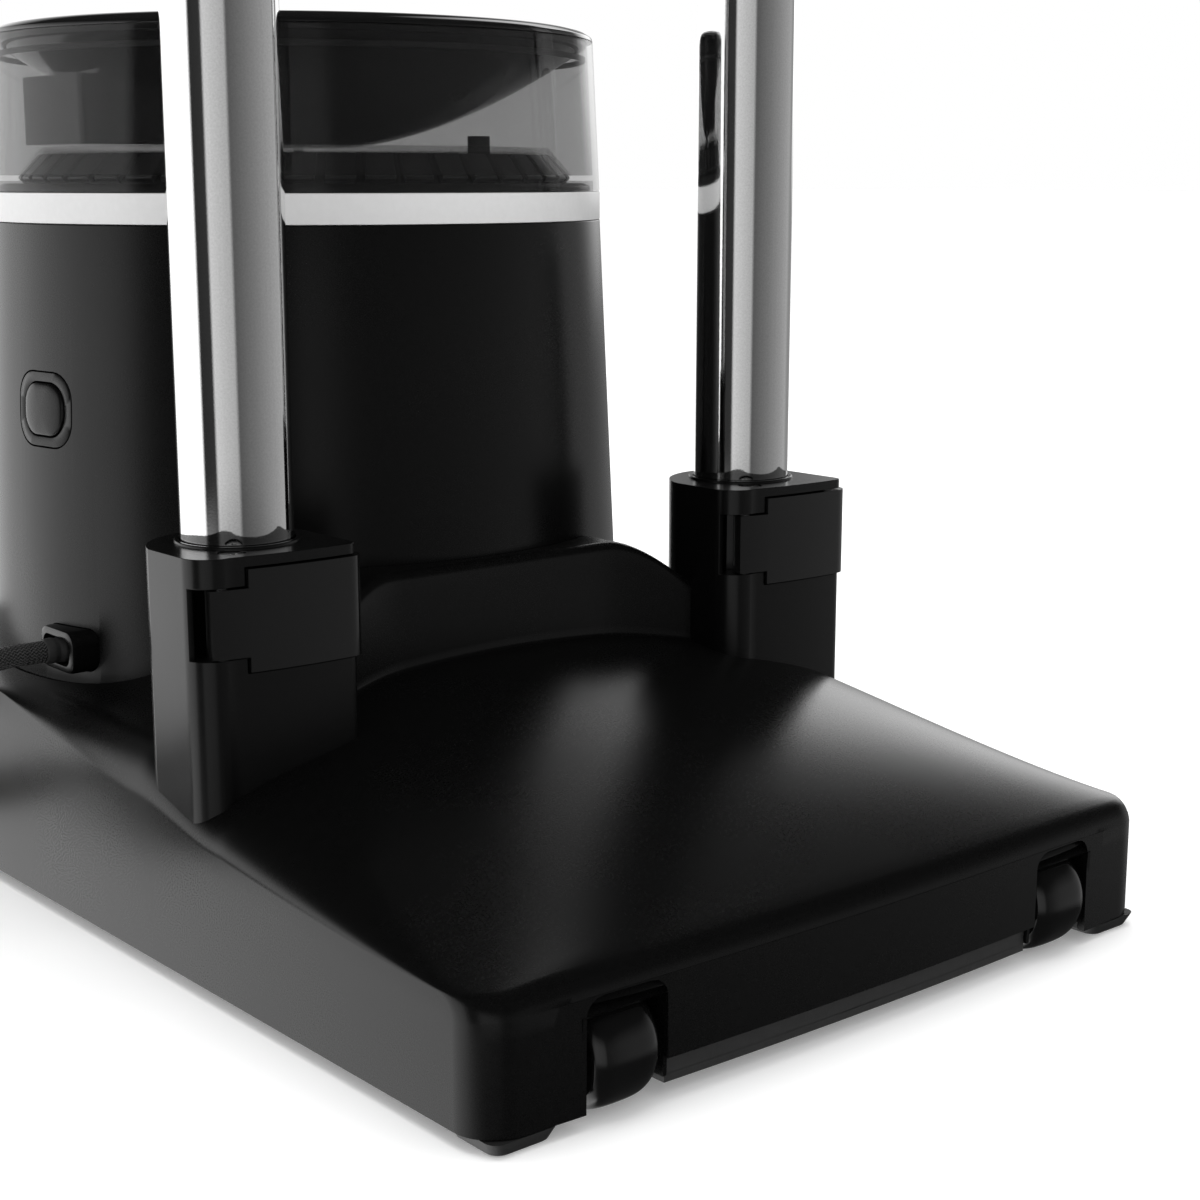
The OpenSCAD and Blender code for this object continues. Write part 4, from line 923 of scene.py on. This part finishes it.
# ribbed seat under the tank
top = bandHigh.z / mm
seat = turned("tankSeat", [(116, top + 0.1), (116, top + 2.2), (113.5, top + 3.2), (107, top + 3.2), (97.6, top + 13.0), (97.6, top + 14.1),
              (1, top + 14.1), (1, top + 11.7), (95.5, top + 11.7), (104.5, top + 0.1)], drumFoot, segments=192, soft=0.4)
dressed(seat, "blackSocket", "base", ("tank_seat",))
seatFacts = {"pads": 46, "share": 0.76, "slant": 0.12}
padPoints, padFaces = [], []
for k in range(seatFacts["pads"]):
    start = len(padPoints)
    pitch = math.tau / seatFacts["pads"]
    for lift in (-0.3, 2.1, 2.5):
        shrink = 0.0 if lift < 2.3 else 0.35
        for level, slide in ((0.04, 0.0), (0.94, seatFacts["slant"])):
            level = 0.5 + (level - 0.5) * (1 - 0.06 * (lift > 2.3))
            for s in (0, 0.25, 0.5, 0.75, 1.0):
                a = pitch * (k + slide + seatFacts["share"] * s)
                a += (0.5 - s) * 2 * shrink / 100
                r = 106.8 - 9.2 * level + lift * 0.72
                z = top + 3.2 + 9.9 * level + lift * 0.69
                padPoints.append(Vector((drumAt.x + r * mm * math.cos(a), drumAt.y + r * mm * math.sin(a), z * mm)))
    for layer in (0, 1):
        b = start + layer * 10
        for s in range(4):
            padFaces += [(b + s, b + s + 1, b + 11 + s, b + 10 + s), (b + 5 + s + 1, b + 5 + s, b + 15 + s, b + 16 + s)]
        padFaces += [(b + 5, b, b + 10, b + 15), (b + 4, b + 9, b + 19, b + 14)]
    for s in range(4):
        b = start + s
        padFaces += [(b + 1, b, b + 5, b + 6), (b + 20, b + 21, b + 26, b + 25)]
# rib pads take the lighter grey finish: painted light on the rib tops, the seat around them staying black
dressed(meshOf("seatRibs", padPoints, padFaces, 25), "padPaintedLit", "base")

# clear tank, dished lid
rimZ, floorZ = top + 57.3, top + 14.7


def wallRadius(z):
    return 119.9 - 2.7 * (z - top) / 57.3


tankProfile = [(wallRadius(top), top + 0.1), (117.2, rimZ), (114.8, rimZ), (wallRadius(top + 6.2) - 2.4, top + 6.2),
               (109, top + 6.2), (99.9, floorZ + 2), (2, floorZ + 2), (2, floorZ), (99, floorZ), (108, top + 4.2),
               (117.4, top + 4.2), (117.4, top + 0.1)]
dressed(turned("tankShell", tankProfile, drumFoot, segments=256, soft=0.5), "smokedClear", "tank",
        ("tank_shell",))


def dishZ(r):
    return rimZ - 40.2 + 40.2 * min(1.0, max(0.0, (r - 17) / (114.5 + 2.7 - 17))) ** 1.7


lidUnder = [(0, dishZ(0))] + [(17 + (114.5 - 17) * k / 40, dishZ(17 + (114.5 - 17) * k / 40)) for k in range(41)]
lidOver = [(17 + (105.5 - 17) * k / 40, dishZ(17 + (105.5 - 17) * k / 40) + 2.2 + 2.2 * k / 40)
           for k in range(40, -1, -1)]
lidRim = [(114.5, rimZ + 0.1), (117.2, rimZ + 0.1), (116.8, rimZ + 1.6), (114.2, rimZ + 3.2), (110.2, rimZ + 4.2),
          (107.7, rimZ + 3.6)]
lid = turned("lidBody", lidUnder + lidRim + lidOver + [(0, dishZ(0) + 2.2)], drumFoot, segments=192, soft=0.3)
neckLow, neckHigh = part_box("filler_cap")
neckAt = (neckLow + neckHigh) / 2
neckRoom = prism("neckRoom", roundBox(-17, -22, 17, 22, 5), floorZ, rimZ + 20, (neckAt.x, neckAt.y, 0))
lid = named(carved(lid, [neckRoom]), "tankLid")
lid.data.polygons.foreach_set("use_smooth", [True] * len(lid.data.polygons))
lid.data.set_sharp_from_angle(angle=math.radians(35))
dressed(lid, "smokedDark", "tank", ("tank_lid",))
print("tank made")

# poles
for tag, at in (("Left", leftPole), ("Right", rightPole)):
    lower = tag.lower()
    for kind, body, wall in (("outer", "poles", 1.2), ("inner", "mast", 1.0)):
        low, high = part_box(kind + "_pole_" + lower)
        r = (high.x - low.x) / 2 / mm
        tube = [(r, low.z / mm), (r, high.z / mm), (r - wall, high.z / mm), (r - wall, low.z / mm)]
        dressed(turned(kind + "Pole" + tag, tube, (at.x, at.y, 0), segments=192, soft=0.4),
                "tubeMetal", body, (kind + "_pole_" + lower,))
print("poles made")

# what is left of the frame: softened edges on the nodes as they stand
for name, node in nodes.items():
    if not node.hide_render:
        withModifiers(node, ("WELD", {"merge_threshold": 0.00001}),
                      ("BEVEL", {"width": 0.35 * mm, "segments": 2, "limit_method": "ANGLE",
                                 "angle_limit": math.radians(40), "use_clamp_overlap": True}),
                      ("WEIGHTED_NORMAL", {"keep_sharp": False, "weight": 60}))
        node.data.polygons.foreach_set("use_smooth", [True] * len(node.data.polygons))

# floor and light
ground = meshOf("floor", [(-40, -40, 0), (40, -40, 0), (40, 40, 0), (-40, 40, 0)], [(0, 1, 2, 3)])
groundFinish, groundMaker = newFinish("pale floor")
groundCloud = noise(groundMaker, place(groundMaker), 3.0)
closeFinish(groundMaker, Base_Color=tint(groundMaker, grey(0.90), grey(0.93), groundCloud), Roughness=0.9,
            Emission_Color=grey(1.0), Emission_Strength=0.17)
ground.data.materials.append(groundFinish)
scene.collection.objects.link(ground)
ground.visible_glossy = False

sky = bpy.data.worlds.new("studio")
scene.world = sky
sky.use_nodes = True
sky.node_tree.nodes.clear()
skyMaker = Maker(sky.node_tree)
heading = skyMaker.add("ShaderNodeTexCoord", None, None, "Generated")
skyMaker.add("ShaderNodeSeparateXYZ", None, {0: heading})
headingParts = sky.node_tree.nodes[-1]
headX, headY, headZ = (Wire(skyMaker, headingParts.outputs[i]) for i in range(3))
bearing = skyMaker.add("ShaderNodeMath", {"operation": "ARCTAN2"}, {0: headX, 1: 0 - headY}) * (180 / math.pi)
bright = 2.6
bandStops = [(-180, 1.5), (-160, 1.5), (-158, 1.9), (-97, 1.5), (-92, 0.03), (-69, 0.04), (-64, 0.78), (-24, 0.52),
             (-18, 0.12), (20, 0.22), (87, 0.46), (100, 0.30), (136, 0.32), (150, 1.3), (180, 1.5)]
lowStops = [(-180, 1.5), (-120, 1.7), (-95, 1.2), (-60, 0.05), (60, 0.04), (130, 0.05), (160, 0.8), (180, 1.5)]
bandAt = (bearing + 180) / 360


def banded(stops):
    colours = [((a + 180) / 360, grey(level / bright)) for a, level in stops]
    return skyMaker.add("ShaderNodeValToRGB", {"stops": colours}, {"Fac": bandAt})


bands, lowBands = banded(bandStops), banded(lowStops)


def within(value, centre, reach):
    share = (value - centre) / reach
    return (1 - share * share).calc("MAXIMUM", 0.0)


glossRay = skyMaker.add("ShaderNodeLightPath", None, None, "Is Glossy Ray")
aloft = ((headZ - 0.17) * 3.4).calc("MAXIMUM", 0.0).calc("MINIMUM", 1.0)
sunk = ((headZ + 0.26) * -7.0).calc("MAXIMUM", 0.0).calc("MINIMUM", 1.0)
# strip lamps that show in gloss only: two tall ones, and one low down behind the far edge
strips = within(bearing, 131.0, 5.0) * within(headZ, 0.52, 0.26) * 0.75
strips = strips + within(bearing, 124.0, 5.0) * within(headZ, 0.34, 0.18) * 1.6
strips = (strips + within(bearing, 119.0, 15.0) * within(headZ, 0.17, 0.2) * 1.0).calc("MINIMUM", 1.0)
glossSky = tint(skyMaker, tint(skyMaker, tint(skyMaker, bands, grey(0.006), aloft), lowBands, sunk), grey(1.0), strips)
skyColour = tint(skyMaker, grey(1.0 / bright), glossSky, glossRay)
lamp = skyMaker.add("ShaderNodeBackground", None, {"Color": skyColour, "Strength": bright})
skyMaker.add("ShaderNodeOutputWorld", None, {"Surface": lamp})


def softLight(name, at, toward, size, power):
    data = bpy.data.lights.new(name, "AREA")
    data.shape, data.size, data.size_y, data.energy = "RECTANGLE", size[0], size[1], power
    made = bpy.data.objects.new(name, data)
    made.location = at
    made.rotation_mode = "QUATERNION"
    made.rotation_quaternion = (Vector(toward) - Vector(at)).to_track_quat("-Z", "Y")
    made.visible_camera = made.visible_glossy = False
    scene.collection.objects.link(made)
    return made


softLight("overhead", (0.0, 0.3, 3.2), (0, 0.05, 0), (3.0, 3.0), 60)

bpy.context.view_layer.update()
for row in frame["record"]["subparts"]:
    node = nodes[row["node"]]
    if not node.hide_render:
        node.data.materials.clear()
        node.data.materials.append(finishes[slotFinish[row["material_slot"]]])
